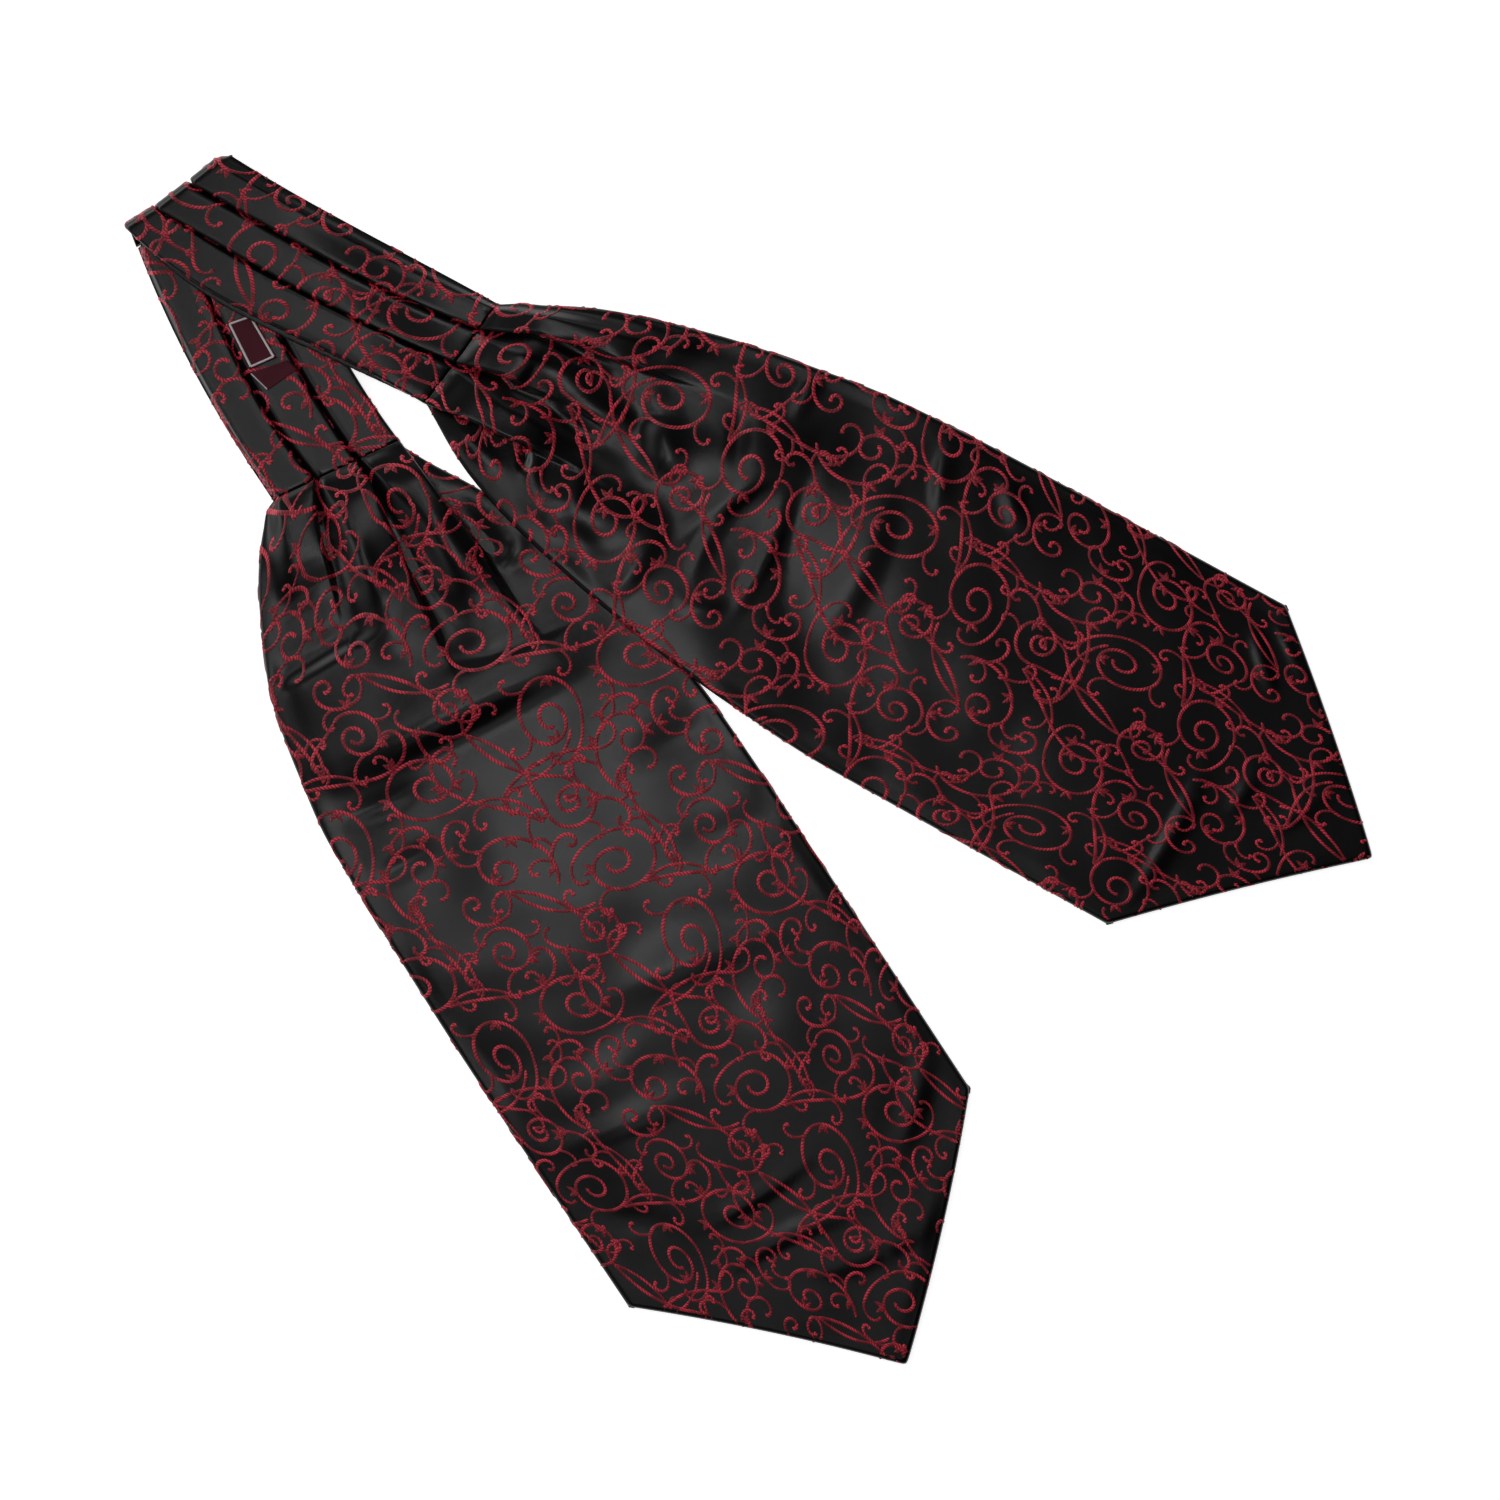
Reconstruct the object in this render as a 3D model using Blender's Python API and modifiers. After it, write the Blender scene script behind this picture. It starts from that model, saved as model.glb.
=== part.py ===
"""A ready-pleated satin cravat, laid out and folded over once at its neckband.

Two pointed double-ply blades are joined by a narrow neckband whose cloth is pressed into three knife
pleats. The upper stretch lies on the lower one at the turn and comes down to the table beside it.
+Z is up, the table is z = 0 and the origin is the middle of the footprint. Lengths are in millimetres
until a mesh is made, which is in metres.
"""

import math
from types import SimpleNamespace

import bmesh
import bpy
from mathutils import Vector

MM = 0.001

# Cloth
WALL = 1.0  # one ply
PLY_GAP = 0.5  # air between the two plies of a blade
SEAM_GAP = 0.3  # between pieces that are sewn together
PLEAT_RADIUS = 0.7  # of a pressed fold, at the middle of the wall
EDGE_ROLL = 1.3  # how far in from a blade's edge its front ply starts to turn down
ROLL_SHARE, ROLL_DROP = 0.3, 0.7  # this share of the way in, it has come down by this share
FOOT = 0.36  # height of the middle of the wall where that edge ends
EDGE_INSET = 2.2  # from a blade's edge to the edge of its back ply
STACK = 4 * PLEAT_RADIUS + WALL  # three layers of pleated band
LAY_GAP = 0.4  # between the lower stretch and the upper one that lies on it
LAST_CROWN = 0.5  # how far the last strip bulges where it is wide
CLEAR = 0.3  # between a strip's start and the fold before it
STRIP_RISE = 0.9  # least run of a strip's climb on to the layers under it, over its height

# Steps along each shape
TURN_STEPS = 3  # facets of a pleat's fold
LAST_STRIP_STEPS = 4
HIDDEN_STRIP_STEPS = 6
WRAP_STEPS = 6  # facets of the band's turn


def table(columns, *rows):
    """The rows as one list for each named column."""
    return dict(zip(columns.split(), (list(values) for values in zip(*rows))))


def smooth(x):
    x = min(max(x, 0.0), 1.0)
    return x * x * (3 - 2 * x)


def read(rows, column, at):
    """The column's value at this distance along: a smooth curve through the rows that never overshoots them."""
    xs, ys = rows["along"], rows[column]
    if at <= xs[0]:
        return ys[0]
    if at >= xs[-1]:
        return ys[-1]
    slopes = [(ys[i + 1] - ys[i]) / (xs[i + 1] - xs[i]) for i in range(len(xs) - 1)]
    tangents = [slopes[0]]
    for before, after in zip(slopes, slopes[1:]):
        flat = before * after <= 0
        tangents.append(0.0 if flat else 2 * before * after / (before + after))
    tangents.append(slopes[-1])
    i = max(k for k in range(len(xs) - 1) if xs[k] <= at)
    span = xs[i + 1] - xs[i]
    u = (at - xs[i]) / span
    return (
        (1 + 2 * u) * (1 - u) ** 2 * ys[i]
        + u * (1 - u) ** 2 * span * tangents[i]
        + u * u * (3 - 2 * u) * ys[i + 1]
        - u * u * (1 - u) * span * tangents[i + 1]
    )


# How one pleat opens, by distance from the seam over the pleat's reach: the angle that its cloth turns
# through at each fold, the fold's radius, and the share left of the layer tucked between the folds
OPENING = table(
    "along angle radius tuck",
    (0.0, 180, 0.70, 1.00),
    (0.2, 170, 0.85, 0.80),
    (0.5, 150, 1.10, 0.38),
    (0.8, 122, 1.40, 0.16),
    (1.0, 98, 1.75, 0.12),
    (1.4, 60, 2.40, 0.14),
    (1.9, 32, 3.20, 0.15),
    (2.5, 14, 4.00, 0.15),
    (3.2, 0, 4.50, 0.15),
)

# A blade: x, y and heading of its axis, whose zero is the middle of its seam. The first edge is the one
# that the pleats start from, on the left of the axis (side 1) or on its right (side -1), and every
# distance across the blade is positive towards it.
UPPER = SimpleNamespace(
    name="upper",
    x=-113.8,
    y=160.8,
    heading=-29.3,
    side=1,
    lean=0.112,  # of the seam, along over across
    corner=336.5,  # where the straight sides end
    point=79.5,  # from there to the tip
    tip_across=2.0,
    tip_sway=1.5,  # how far the two sloping edges bow towards the first edge
    # Distance from the axis to both edges
    edges=table(
        "along first last",
        (0, 25.0, 24.0),
        (8, 30.0, 28.9),
        (16, 33.4, 34.1),
        (28, 38.8, 40.9),
        (45, 45.5, 47.6),
        (65, 51.8, 53.0),
        (95, 59.4, 59.6),
        (125, 64.8, 65.0),
        (160, 69.7, 69.4),
        (210, 72.2, 72.5),
        (337, 74.1, 72.2),
    ),
    # Where each pleat's fold runs
    pleats=table(
        "along one two three",
        (0, 12.9, -3.6, -24.0),
        (10, 16.9, -1.0, -22.4),
        (21, 22.2, 1.0, -21.0),
        (31, 24.1, 0.5, -20.2),
        (49, 27.6, -0.5, -18.6),
        (64, 29.6, -1.5, -19.5),
        (120, 38.0, -3.0, -26.0),
    ),
    reach={"one": 60.0, "two": 24.0, "three": 41.0},
    tuck={"one": 4.8, "two": 9.5, "three": 12.0},
    # The largest folds beyond the pleats
    folds=table(
        "at across heading length width height",
        (48, 9, -12, 70, 9, 2.4),
        (84, 12, -48, 46, 7, 2.6),
        (78, -30, 20, 70, 10, 2.2),
        (120, 18, 35, 90, 13, 2.0),
        (150, -28, -30, 90, 14, 1.6),
        (215, 40, 6, 150, 16, 1.4),
        (270, -20, -14, 120, 18, 1.2),
    ),
)
LOWER = SimpleNamespace(
    name="lower",
    x=-163.4,
    y=114.8,
    heading=-57.4,
    side=-1,
    lean=-0.127,
    corner=344.5,
    point=79.5,
    tip_across=0.0,
    tip_sway=-2.4,
    edges=table(
        "along first last",
        (0, 28.6, 26.6),
        (2, 32.4, 27.0),
        (8, 38.0, 29.6),
        (16, 45.4, 33.4),
        (28, 54.8, 39.4),
        (45, 64.4, 47.4),
        (65, 72.8, 56.8),
        (95, 79.4, 67.2),
        (125, 83.8, 72.8),
        (160, 84.7, 76.6),
        (210, 85.0, 78.0),
        (345, 82.5, 79.8),
    ),
    pleats=table(
        "along one two three",
        (0, 10.4, -7.8, -26.6),
        (11, 16.3, -8.0, -27.6),
        (24, 21.6, -6.2, -28.4),
        (40, 26.0, -3.6, -29.5),
        (55, 29.0, -1.2, -31.0),
        (67, 31.0, 0.0, -30.6),
        (120, 36.0, 2.0, -34.0),
    ),
    reach={"one": 29.0, "two": 56.0, "three": 60.0},
    tuck={"one": 10.0, "two": 11.0, "three": 11.5},
    folds=table(
        "at across heading length width height",
        (66, 44, 92, 64, 6, 3.6),
        (92, 16, 95, 124, 8, 4.2),
        (36, 12, 4, 40, 5, 1.6),
        (128, -10, 84, 120, 13, 1.6),
        (205, 34, 10, 160, 17, 1.4),
        (285, -26, -8, 130, 18, 1.2),
    ),
)

# The band's turn: the line that it wraps round, from the upper stretch's first edge to its last, and
# where the pleats' folds cross that line
TURN = table("x y", (-205.2, 239.8), (-219.9, 228.2), (-233.6, 217.8), (-246.0, 210.0))
# How far each edge and fold of a stretch bows to the right of a straight run to the seam, and the share
# of the run at which it bows most
UPPER_BOW = table("bow peak", (1.0, 0.30), (2.7, 0.58), (2.7, 0.58), (4.6, 0.30))
LOWER_BOW = table("bow peak", (4.0, 0.48), (4.2, 0.66), (2.2, 0.70), (2.2, 0.70))
SELVEDGE = 2.7  # how far the innermost layer shows below the upper stretch at mid length
TAIL = 0.05  # the share of the lower run that the upper stretch covers before the two are sewn together
UPPER_ROWS = (0.997, 0.9, 0.8, 0.7, 0.6, 0.5, 0.4, 0.31, 0.22, 0.14, 0.07, 0.0)
LOWER_ROWS = (0.055, 0.15, 0.3, 0.45, 0.6, 0.75, 0.9, 0.997)

# The rim of the lower stretch that the upper one lies over, and how high it lifts it there
RIM = table(
    "x y lift",
    (-205.2, 239.8, STACK + LAY_GAP),
    (-138.6, 126.6, STACK + LAY_GAP),
    (-105.8, 105.6, 3.6),
    (-67.4, 81.6, 3.6),
    (-16.6, 26.8, 3.2),
    (8.0, -8.0, 2.9),
)
RIM_MARGIN = 3.0  # the cloth stays up this far past the rim
RIM_FALL = 28.0  # and then comes down over this distance

# What a strip's width leaves beside the layer tucked under it
TUCK_ROOM = {"one": 6.7, "two": 5.2, "three": 5.2}

# Rows of a blade, by distance from its seam, and the last ones, by distance from the corner
BLADE_ROWS = (0.15, 3, 7, 12, 17, 23, 30, 38, 46, 55, 65, 76, 90, 106, 124, 146, 172, 202, 234, 268, 304)
TIP_ROWS = (16, 1.9, 0.6, 0)
RISE_BY = 10.0  # where the front ply has climbed on to the back one
LEAN_TO = 40.0  # where the rows have lost the slant of the seam
FOLDS_FROM, FOLD_MARGIN = 20.0, 14.0  # the free folds die away towards the seam and the edges
EVEN_FROM, EVEN_BY = 70.0, 150.0  # where the columns leave the pleats and become evenly spaced
POINT_FROM = 90.0  # where the rows start to bend towards the tip's outline
BACK_START = 14.0
BACK_COLUMNS = 12

# The corners of the ribbons sewn on the lower stretch's middle strip, from the end nearer the turn
LABEL = table("x y", (-207.4, 174.0), (-198.0, 174.4), (-198.5, 154.6), (-187.4, 159.0))
CARE_TAG = table("x y", (-198.4, 153.2), (-183.4, 158.6), (-191.4, 146.4), (-179.4, 154.8))
RIBBON_STEPS = (4, 3)


def hump(u, peak):
    """0 at both ends of 0..1 and 1 at the peak."""
    if peak > 0.5:
        u, peak = 1 - u, 1 - peak
    power = (1 - peak) / peak
    return u * (1 - u) ** power / (peak * (1 - peak) ** power)


def lift_at(x, y):
    """How high the upper stretch is held up at this place by the lower one."""
    nearest = None
    rim = list(zip(RIM["x"], RIM["y"], RIM["lift"]))
    for (ax, ay, high), (bx, by, low) in zip(rim, rim[1:]):
        dx, dy = bx - ax, by - ay
        u = min(max(((x - ax) * dx + (y - ay) * dy) / (dx * dx + dy * dy), 0.0), 1.0)
        away = math.hypot(x - ax - u * dx, y - ay - u * dy)
        outside = dx * (y - ay) - dy * (x - ax) > 0
        if nearest is None or away < nearest[0] - 1e-9:
            nearest = (away, outside, high + u * (low - high))
    away, outside, lift = nearest
    return lift * (1 - smooth((away - RIM_MARGIN) / RIM_FALL)) if outside else lift


def pleat_turns(pleat, floor):
    """The points of a pleat's fold, of the layer tucked under it and of the fold that ends that layer."""
    angle, radius = math.radians(pleat.angle), pleat.radius
    drop = 2 * radius * (1 - math.cos(angle)) + pleat.tuck * math.sin(angle)
    steps = [angle * i / TURN_STEPS for i in range(TURN_STEPS + 1)]
    across, up = pleat.at + radius, floor + drop - radius
    fold = [(across - radius * math.sin(a), up + radius * math.cos(a)) for a in steps]
    across -= 2 * radius * math.sin(angle) + pleat.tuck * math.cos(angle)
    tucked = [(across + radius * math.sin(a), floor + radius * (1 - math.cos(a))) for a in reversed(steps)]
    return fold + tucked, drop


def foot_under(floor):
    """How low an edge is turned down: to the table from over a back ply, and not at all without one."""
    return FOOT + (WALL / 2 - FOOT) * (1 - smooth((floor - WALL / 2) / WALL))


def pleated_section(first, last, pleats, floor):
    """The cloth's cross-section as (across, height) at the middle of its wall, from first edge to last."""
    turned = WALL / 2
    foot = foot_under(floor)
    points = [
        (first - turned, foot),
        (first - turned - ROLL_SHARE * EDGE_ROLL, foot + ROLL_DROP * (floor - foot)),
        (first - turned - EDGE_ROLL, floor),
    ]
    start = first - turned - EDGE_ROLL
    for pleat in pleats:
        turns, drop = pleat_turns(pleat, floor)
        covered = max(across for across, _ in turns) - pleat.at
        crest = min(pleat.at + covered + WALL, start - STRIP_RISE * drop)
        crest = max(crest, pleat.at + pleat.radius + CLEAR)
        shares = (1 / 3, 2 / 3, 1) if pleat is pleats[0] else (0, 1 / 3, 2 / 3, 1)
        points += [(start + u * (crest - start), floor + drop * smooth(u)) for u in shares]
        points += turns
        start = min(pleat.at, turns[-1][0]) - CLEAR
    begin, end = points[-1][0], last + turned + EDGE_ROLL
    if end > start:  # the last strip stays hidden, so its edge is a plain one
        end = last + turned
        steps = [i / HIDDEN_STRIP_STEPS for i in range(1, HIDDEN_STRIP_STEPS + 1)]
        points += [(begin + u * (end - begin), floor) for u in steps]
    else:
        shown = start - end
        for i in range(1, LAST_STRIP_STEPS + 1):
            across = begin + i / LAST_STRIP_STEPS * (end - begin)
            rise = min(max((start - across) / max(shown, 1), 0), 1)
            points.append((across, floor + min(LAST_CROWN, 0.05 * shown) * math.sin(math.pi * rise)))
        points.append((last + turned + ROLL_SHARE * EDGE_ROLL, foot + ROLL_DROP * (floor - foot)))
        points.append((last + turned, foot))
    return points


def place(blade, along, across):
    """The plan position of a point of a blade."""
    heading = math.radians(blade.heading)
    sideways = blade.side * across
    return (
        blade.x + along * math.cos(heading) - sideways * math.sin(heading),
        blade.y + along * math.sin(heading) + sideways * math.cos(heading),
    )


def tip_shift(blade, inwards):
    """How far a point of the last row moves across, by its share of the way from a corner to the tip."""
    return blade.tip_across * inwards + blade.tip_sway * hump(inwards, 0.5)


def lean_at(blade, row, across):
    """The seam runs aslant, and the rows straighten over the first stretch."""
    return blade.lean * across * (1 - smooth(row / LEAN_TO))


def pleats_at(blade, row):
    found = []
    for name in ("one", "two", "three"):
        share = row / blade.reach[name]
        found.append(
            SimpleNamespace(
                at=read(blade.pleats, name, row),
                angle=read(OPENING, "angle", share),
                radius=read(OPENING, "radius", share),
                tuck=read(OPENING, "tuck", share) * blade.tuck[name],
            )
        )
    return found


def fold_height(blade, along, across):
    """How far the folds beyond the pleats raise the front ply at this place."""
    height = 0.0
    for at, side, heading, length, width, high in zip(*blade.folds.values()):
        turn = math.radians(heading)
        dx, dy = along - at, across - side
        u = (dx * math.cos(turn) + dy * math.sin(turn)) / (length / 2)
        v = (dy * math.cos(turn) - dx * math.sin(turn)) / width
        if abs(u) < 1:
            height += high * (1 - u * u) ** 2 * math.exp(-v * v)
    return height


def front_rows(blade):
    """Rows of points for a blade's front ply, from its seam to its tip."""
    rows = []
    for row in [*BLADE_ROWS, *(blade.corner - before for before in TIP_ROWS)]:
        first = read(blade.edges, "first", row)
        last = -read(blade.edges, "last", row)
        floor = WALL / 2 + (WALL + PLY_GAP) * smooth(row / RISE_BY)
        section = pleated_section(first, last, pleats_at(blade, row), floor)
        evenly = smooth((row - EVEN_FROM) / (EVEN_BY - EVEN_FROM))
        inner_first, inner_last = section[2][0], section[-3][0]
        middle = (inner_first + inner_last) / 2
        half = (section[0][0] - section[-1][0]) / 2
        towards_tip = smooth((row - POINT_FROM) / (blade.corner - POINT_FROM))
        count = len(section) - 5
        from_edge = (blade.corner - row) * math.cos(math.atan2(blade.point, half))
        turned = from_edge / EDGE_ROLL
        steep, shallow = ROLL_DROP / ROLL_SHARE, (1 - ROLL_DROP) / (1 - ROLL_SHARE)
        rolled = min(1, steep * turned, ROLL_DROP + shallow * (turned - ROLL_SHARE))
        points = []
        for i, (across, up) in enumerate(section):
            if 2 <= i <= len(section) - 3:
                even = inner_first + (i - 2) / count * (inner_last - inner_first)
                across += evenly * (even - across)
            inwards = 1 - abs(across - middle) / half
            along = row + lean_at(blade, row, across) + towards_tip * blade.point * inwards
            inside = max(0.0, min(first - across - WALL, across - last - WALL, FOLD_MARGIN)) / FOLD_MARGIN
            inside *= min(1.0, from_edge / FOLD_MARGIN) * smooth(row / FOLDS_FROM)
            up += fold_height(blade, along, across) * smooth(inside)
            up = FOOT + (up - FOOT) * rolled
            x, y = place(blade, along, across + towards_tip * tip_shift(blade, inwards))
            points.append((x, y, up + (lift_at(x, y) if blade is UPPER else 0)))
        rows.append(points)
    return rows


def back_rows(blade):
    """Rows of points for a blade's back ply, which lies flat under the front one, inside its edges."""
    slope = math.atan2(blade.point, (blade.edges["first"][-1] + blade.edges["last"][-1]) / 2)
    corner = blade.corner - EDGE_INSET * math.cos(slope)
    point = blade.point - EDGE_INSET / math.cos(slope)
    rows = []
    for row in [BACK_START, *(row for row in BLADE_ROWS if row > BACK_START), corner]:
        first = read(blade.edges, "first", row) - EDGE_INSET
        last = EDGE_INSET - read(blade.edges, "last", row)
        towards_tip = smooth((row - POINT_FROM) / (corner - POINT_FROM))
        points = []
        for i in range(BACK_COLUMNS + 1):
            share = i / BACK_COLUMNS
            inwards = 1 - abs(2 * share - 1)
            across = first + share * (last - first)
            along = row + lean_at(blade, row, across)
            along += towards_tip * point * inwards
            x, y = place(blade, along, across + towards_tip * tip_shift(blade, inwards))
            points.append((x, y, WALL / 2 + (lift_at(x, y) if blade is UPPER else 0)))
        rows.append(points)
    return rows


def stretch_lines(blade, bows, turn_points):
    """For each edge and fold of a stretch of band: where it starts at the turn, its seam end and its bow."""
    seam = [read(blade.edges, "first", 0)]
    seam += [read(blade.pleats, name, 0) for name in ("one", "two", "three")]
    ends = [place(blade, lean_at(blade, 0, across), across) for across in seam]
    return list(zip(turn_points, ends, bows["bow"], bows["peak"]))


def line_point(line, share):
    (ax, ay), (bx, by), bow, peak = line
    length = math.hypot(bx - ax, by - ay)
    off = bow * hump(share, peak) / length
    return (
        ax + share * (bx - ax) + off * (by - ay),
        ay + share * (by - ay) - off * (bx - ax),
    )


def across_band(lines, share):
    """The section of a stretch here: its plan points and their distances from its last line."""
    plan = [line_point(line, share) for line in lines]
    gaps = [math.dist(a, b) for a, b in zip(plan, plan[1:])]
    return plan, [sum(gaps[i:]) for i in range(len(plan))]


def band_plan(plan, marks, across):
    """Plan position on the section at this distance from its last line, carried on past both ends."""
    i = max([0] + [k for k in range(len(marks) - 1) if marks[k] >= across])
    share = (marks[i] - across) / (marks[i] - marks[i + 1])
    (ax, ay), (bx, by) = plan[i], plan[i + 1]
    return ax + share * (bx - ax), ay + share * (by - ay)


def band_section(blade, marks, shown):
    """The band's own cross-section, three full pleats wide. The innermost layer shows by this much."""
    pleats = []
    for before, mark, name in zip(marks, marks[1:], ("one", "two", "three")):
        tuck = min(blade.tuck[name], before - mark - TUCK_ROOM[name])
        pleats.append(SimpleNamespace(at=mark, angle=180, radius=PLEAT_RADIUS, tuck=tuck))
    return pleated_section(marks[0], -shown, pleats, WALL / 2)


def lower_band_rows(lines):
    rows = []
    for share in LOWER_ROWS:
        plan, marks = across_band(lines, share)
        section = band_section(LOWER, marks, 0)
        rows.append([(*band_plan(plan, marks, across), up) for across, up in section])
    return rows


def upper_band_rows(lines, lower_lines):
    """The upper stretch from its seam to the turn, round it, and on to its seam with the lower stretch."""
    rows = []
    for share in UPPER_ROWS:
        plan, marks = across_band(lines, share)
        section = band_section(UPPER, marks, SELVEDGE * hump(share, 0.5) if 0.05 < share < 0.95 else 0)
        points = []
        for across, up in section:
            x, y = band_plan(plan, marks, across)
            points.append((x, y, up + lift_at(x, y)))
        rows.append(points)
    (ax, ay), (bx, by) = plan[-1], plan[0]
    length = math.dist(plan[0], plan[-1])
    outward = ((ay - by) / length, (bx - ax) / length)
    middle = STACK + LAY_GAP / 2
    heights = [STACK + LAY_GAP + up - middle for _, up in section]
    for step in range(1, WRAP_STEPS + 1):
        angle = math.pi * step / WRAP_STEPS
        rows.append(
            [
                (
                    x + outward[0] * height * math.sin(angle),
                    y + outward[1] * height * math.sin(angle),
                    middle + height * math.cos(angle),
                )
                for (x, y, _), height in zip(points, heights)
            ]
        )
    far, _ = across_band(lower_lines, TAIL)
    far.reverse()
    rows.append(
        [
            (*band_plan(far, marks, across), middle - height)
            for (across, _), height in zip(section, heights)
        ]
    )
    return rows


def ribbon_rows(corners):
    """A ribbon between four corners, lying flat on the pleated band."""
    along_steps, across_steps = RIBBON_STEPS
    near_first, near_last, far_first, far_last = (Vector(at) for at in zip(corners["x"], corners["y"]))
    rows = []
    for i in range(along_steps + 1):
        first = near_first.lerp(far_first, i / along_steps)
        last = near_last.lerp(far_last, i / along_steps)
        row = [first.lerp(last, j / across_steps) for j in range(across_steps + 1)]
        rows.append([(*at, STACK + SEAM_GAP + WALL / 2) for at in row])
    return rows


def material(name, colour, roughness):
    made = bpy.data.materials.new(name)
    made.use_nodes = True
    shader = made.node_tree.nodes["Principled BSDF"]
    shader.inputs["Base Color"].default_value = (*colour, 1)
    shader.inputs["Roughness"].default_value = roughness
    made.diffuse_color = (*colour, 1)
    return made


def cloth(name, rows, finish, collection):
    """One piece of cloth: an open surface through the rows of points, thickened to the wall."""
    bm = bmesh.new()
    grid = [[bm.verts.new(Vector(point) * MM) for point in row] for row in rows]
    for near, far in zip(grid, grid[1:]):
        for i in range(len(near) - 1):
            bm.faces.new((near[i], near[i + 1], far[i + 1], far[i]))
    mesh = bpy.data.meshes.new(name)
    bm.to_mesh(mesh)
    bm.free()
    mesh.shade_smooth()
    mesh.materials.append(finish)
    piece = bpy.data.objects.new(name, mesh)
    collection.objects.link(piece)
    wall = piece.modifiers.new("Wall", "SOLIDIFY")
    wall.thickness = WALL * MM
    wall.offset = 0
    wall.use_even_offset = True
    wall.use_quality_normals = True
    return piece


def main():
    for old in list(bpy.data.objects):
        bpy.data.objects.remove(old)
    collection = bpy.data.collections.new("Cravat")
    bpy.context.scene.collection.children.link(collection)
    satin = material("Satin", (0.012, 0.014, 0.014), 0.42)
    ribbon = material("Label ribbon", (0.10, 0.010, 0.022), 0.7)

    turn = list(zip(TURN["x"], TURN["y"]))
    upper_lines = stretch_lines(UPPER, UPPER_BOW, turn)
    lower_lines = stretch_lines(LOWER, LOWER_BOW, turn[::-1])
    cloth("neckband_lower", lower_band_rows(lower_lines), satin, collection)
    cloth("neckband_upper", upper_band_rows(upper_lines, lower_lines), satin, collection)
    for blade in (LOWER, UPPER):
        cloth(f"blade_{blade.name}_front", front_rows(blade), satin, collection)
        cloth(f"blade_{blade.name}_back", back_rows(blade), satin, collection)
    cloth("label", ribbon_rows(LABEL), ribbon, collection)
    cloth("care_tag", ribbon_rows(CARE_TAG), ribbon, collection)


main()
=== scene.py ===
"""The looks of a ready-pleated satin cravat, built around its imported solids.

Every piece of cloth is a thin shell on the outer face of its solid, through the same sections as the
solid but finer, with its smaller creases added. The woven scrollwork is raised ribbons that are drawn on
the flat cloth and carried on to the folded one. Lengths are in millimetres until a mesh is made.
"""

import math
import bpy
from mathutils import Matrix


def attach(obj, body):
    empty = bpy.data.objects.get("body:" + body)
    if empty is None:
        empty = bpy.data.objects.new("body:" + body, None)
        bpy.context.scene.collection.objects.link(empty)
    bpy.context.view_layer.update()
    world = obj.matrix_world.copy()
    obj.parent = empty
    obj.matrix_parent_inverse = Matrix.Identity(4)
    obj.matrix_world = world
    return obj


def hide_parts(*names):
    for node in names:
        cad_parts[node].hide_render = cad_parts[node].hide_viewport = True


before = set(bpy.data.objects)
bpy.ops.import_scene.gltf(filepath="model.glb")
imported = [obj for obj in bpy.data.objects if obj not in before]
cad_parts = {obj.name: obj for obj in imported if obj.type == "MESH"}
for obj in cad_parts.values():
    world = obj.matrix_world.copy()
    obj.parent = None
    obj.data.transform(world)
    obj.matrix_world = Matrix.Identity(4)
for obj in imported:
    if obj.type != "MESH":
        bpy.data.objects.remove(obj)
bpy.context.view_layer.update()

from types import SimpleNamespace

import bpy
import numpy as np
from mathutils import Matrix, Vector
from mathutils.bvhtree import BVHTree

MM = 0.001

# Cloth, as the solids have it
WALL = 1.0
FACE = WALL / 2  # from the middle of a solid's wall to its outer face
PLY_GAP = 0.5
PLEAT_RADIUS = 0.7
STACK = 4 * PLEAT_RADIUS + WALL
PLEATS = ("one", "two", "three")
LAY_GAP = 0.4
CLEAR = 0.3
STRIP_RISE = 0.9
EDGE_INSET = 2.2
EDGE_COLUMNS, LAST_COLUMNS = 2, 4  # columns of the solid in a rolled edge and in the last strip
STRIP_COLUMNS, FOLD_COLUMNS = 3, 3  # and in any other strip and in half a pleat's fold

# The shells
SHELL = 0.4  # thickness
ON_TABLE = 0.36  # height of what is turned in underneath
BACK_HEIGHT = 0.36  # of a back ply's outer face
EDGE_MIDDLE = 0.62  # height of a blade's edge where it is widest
BAND_ROLL, BLADE_ROLL = 0.48, 1.8  # from an edge to where the cloth is level: in the band, in a blade
UNDER_ROLL = 0.45  # the same below the edge's middle
TURNED_IN = 1.6  # how far an edge is turned in underneath
CROWN = 0.18  # how far a strip between two pleats bulges
RISE_SHARE = 0.6  # of a strip's open width, over which it rises on to the next one's fold
LAST_CROWN, CROWN_SHARE = 0.5, 0.05  # the last strip's bulge: the most, and its share of the width that shows
FULL_TO = 50.0  # the strips lose their bulge from here on
SEAM_PINCH, SEAM_REACH = 0.09, 1.2  # share of its height lost at a seam, and how far off
PUCKERS = ((7.3, 0.30, 0.4), (4.1, 0.24, 2.0), (12.7, 0.20, 4.4))  # spacing, depth and phase of each row
# A seam's allowance, which lies under the band: how far back each row is, and how far below the face
ALLOWANCE = ((1.6, 0.75), (0.9, 0.65), (0.25, 0.45), (0.0, 0.06))

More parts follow.
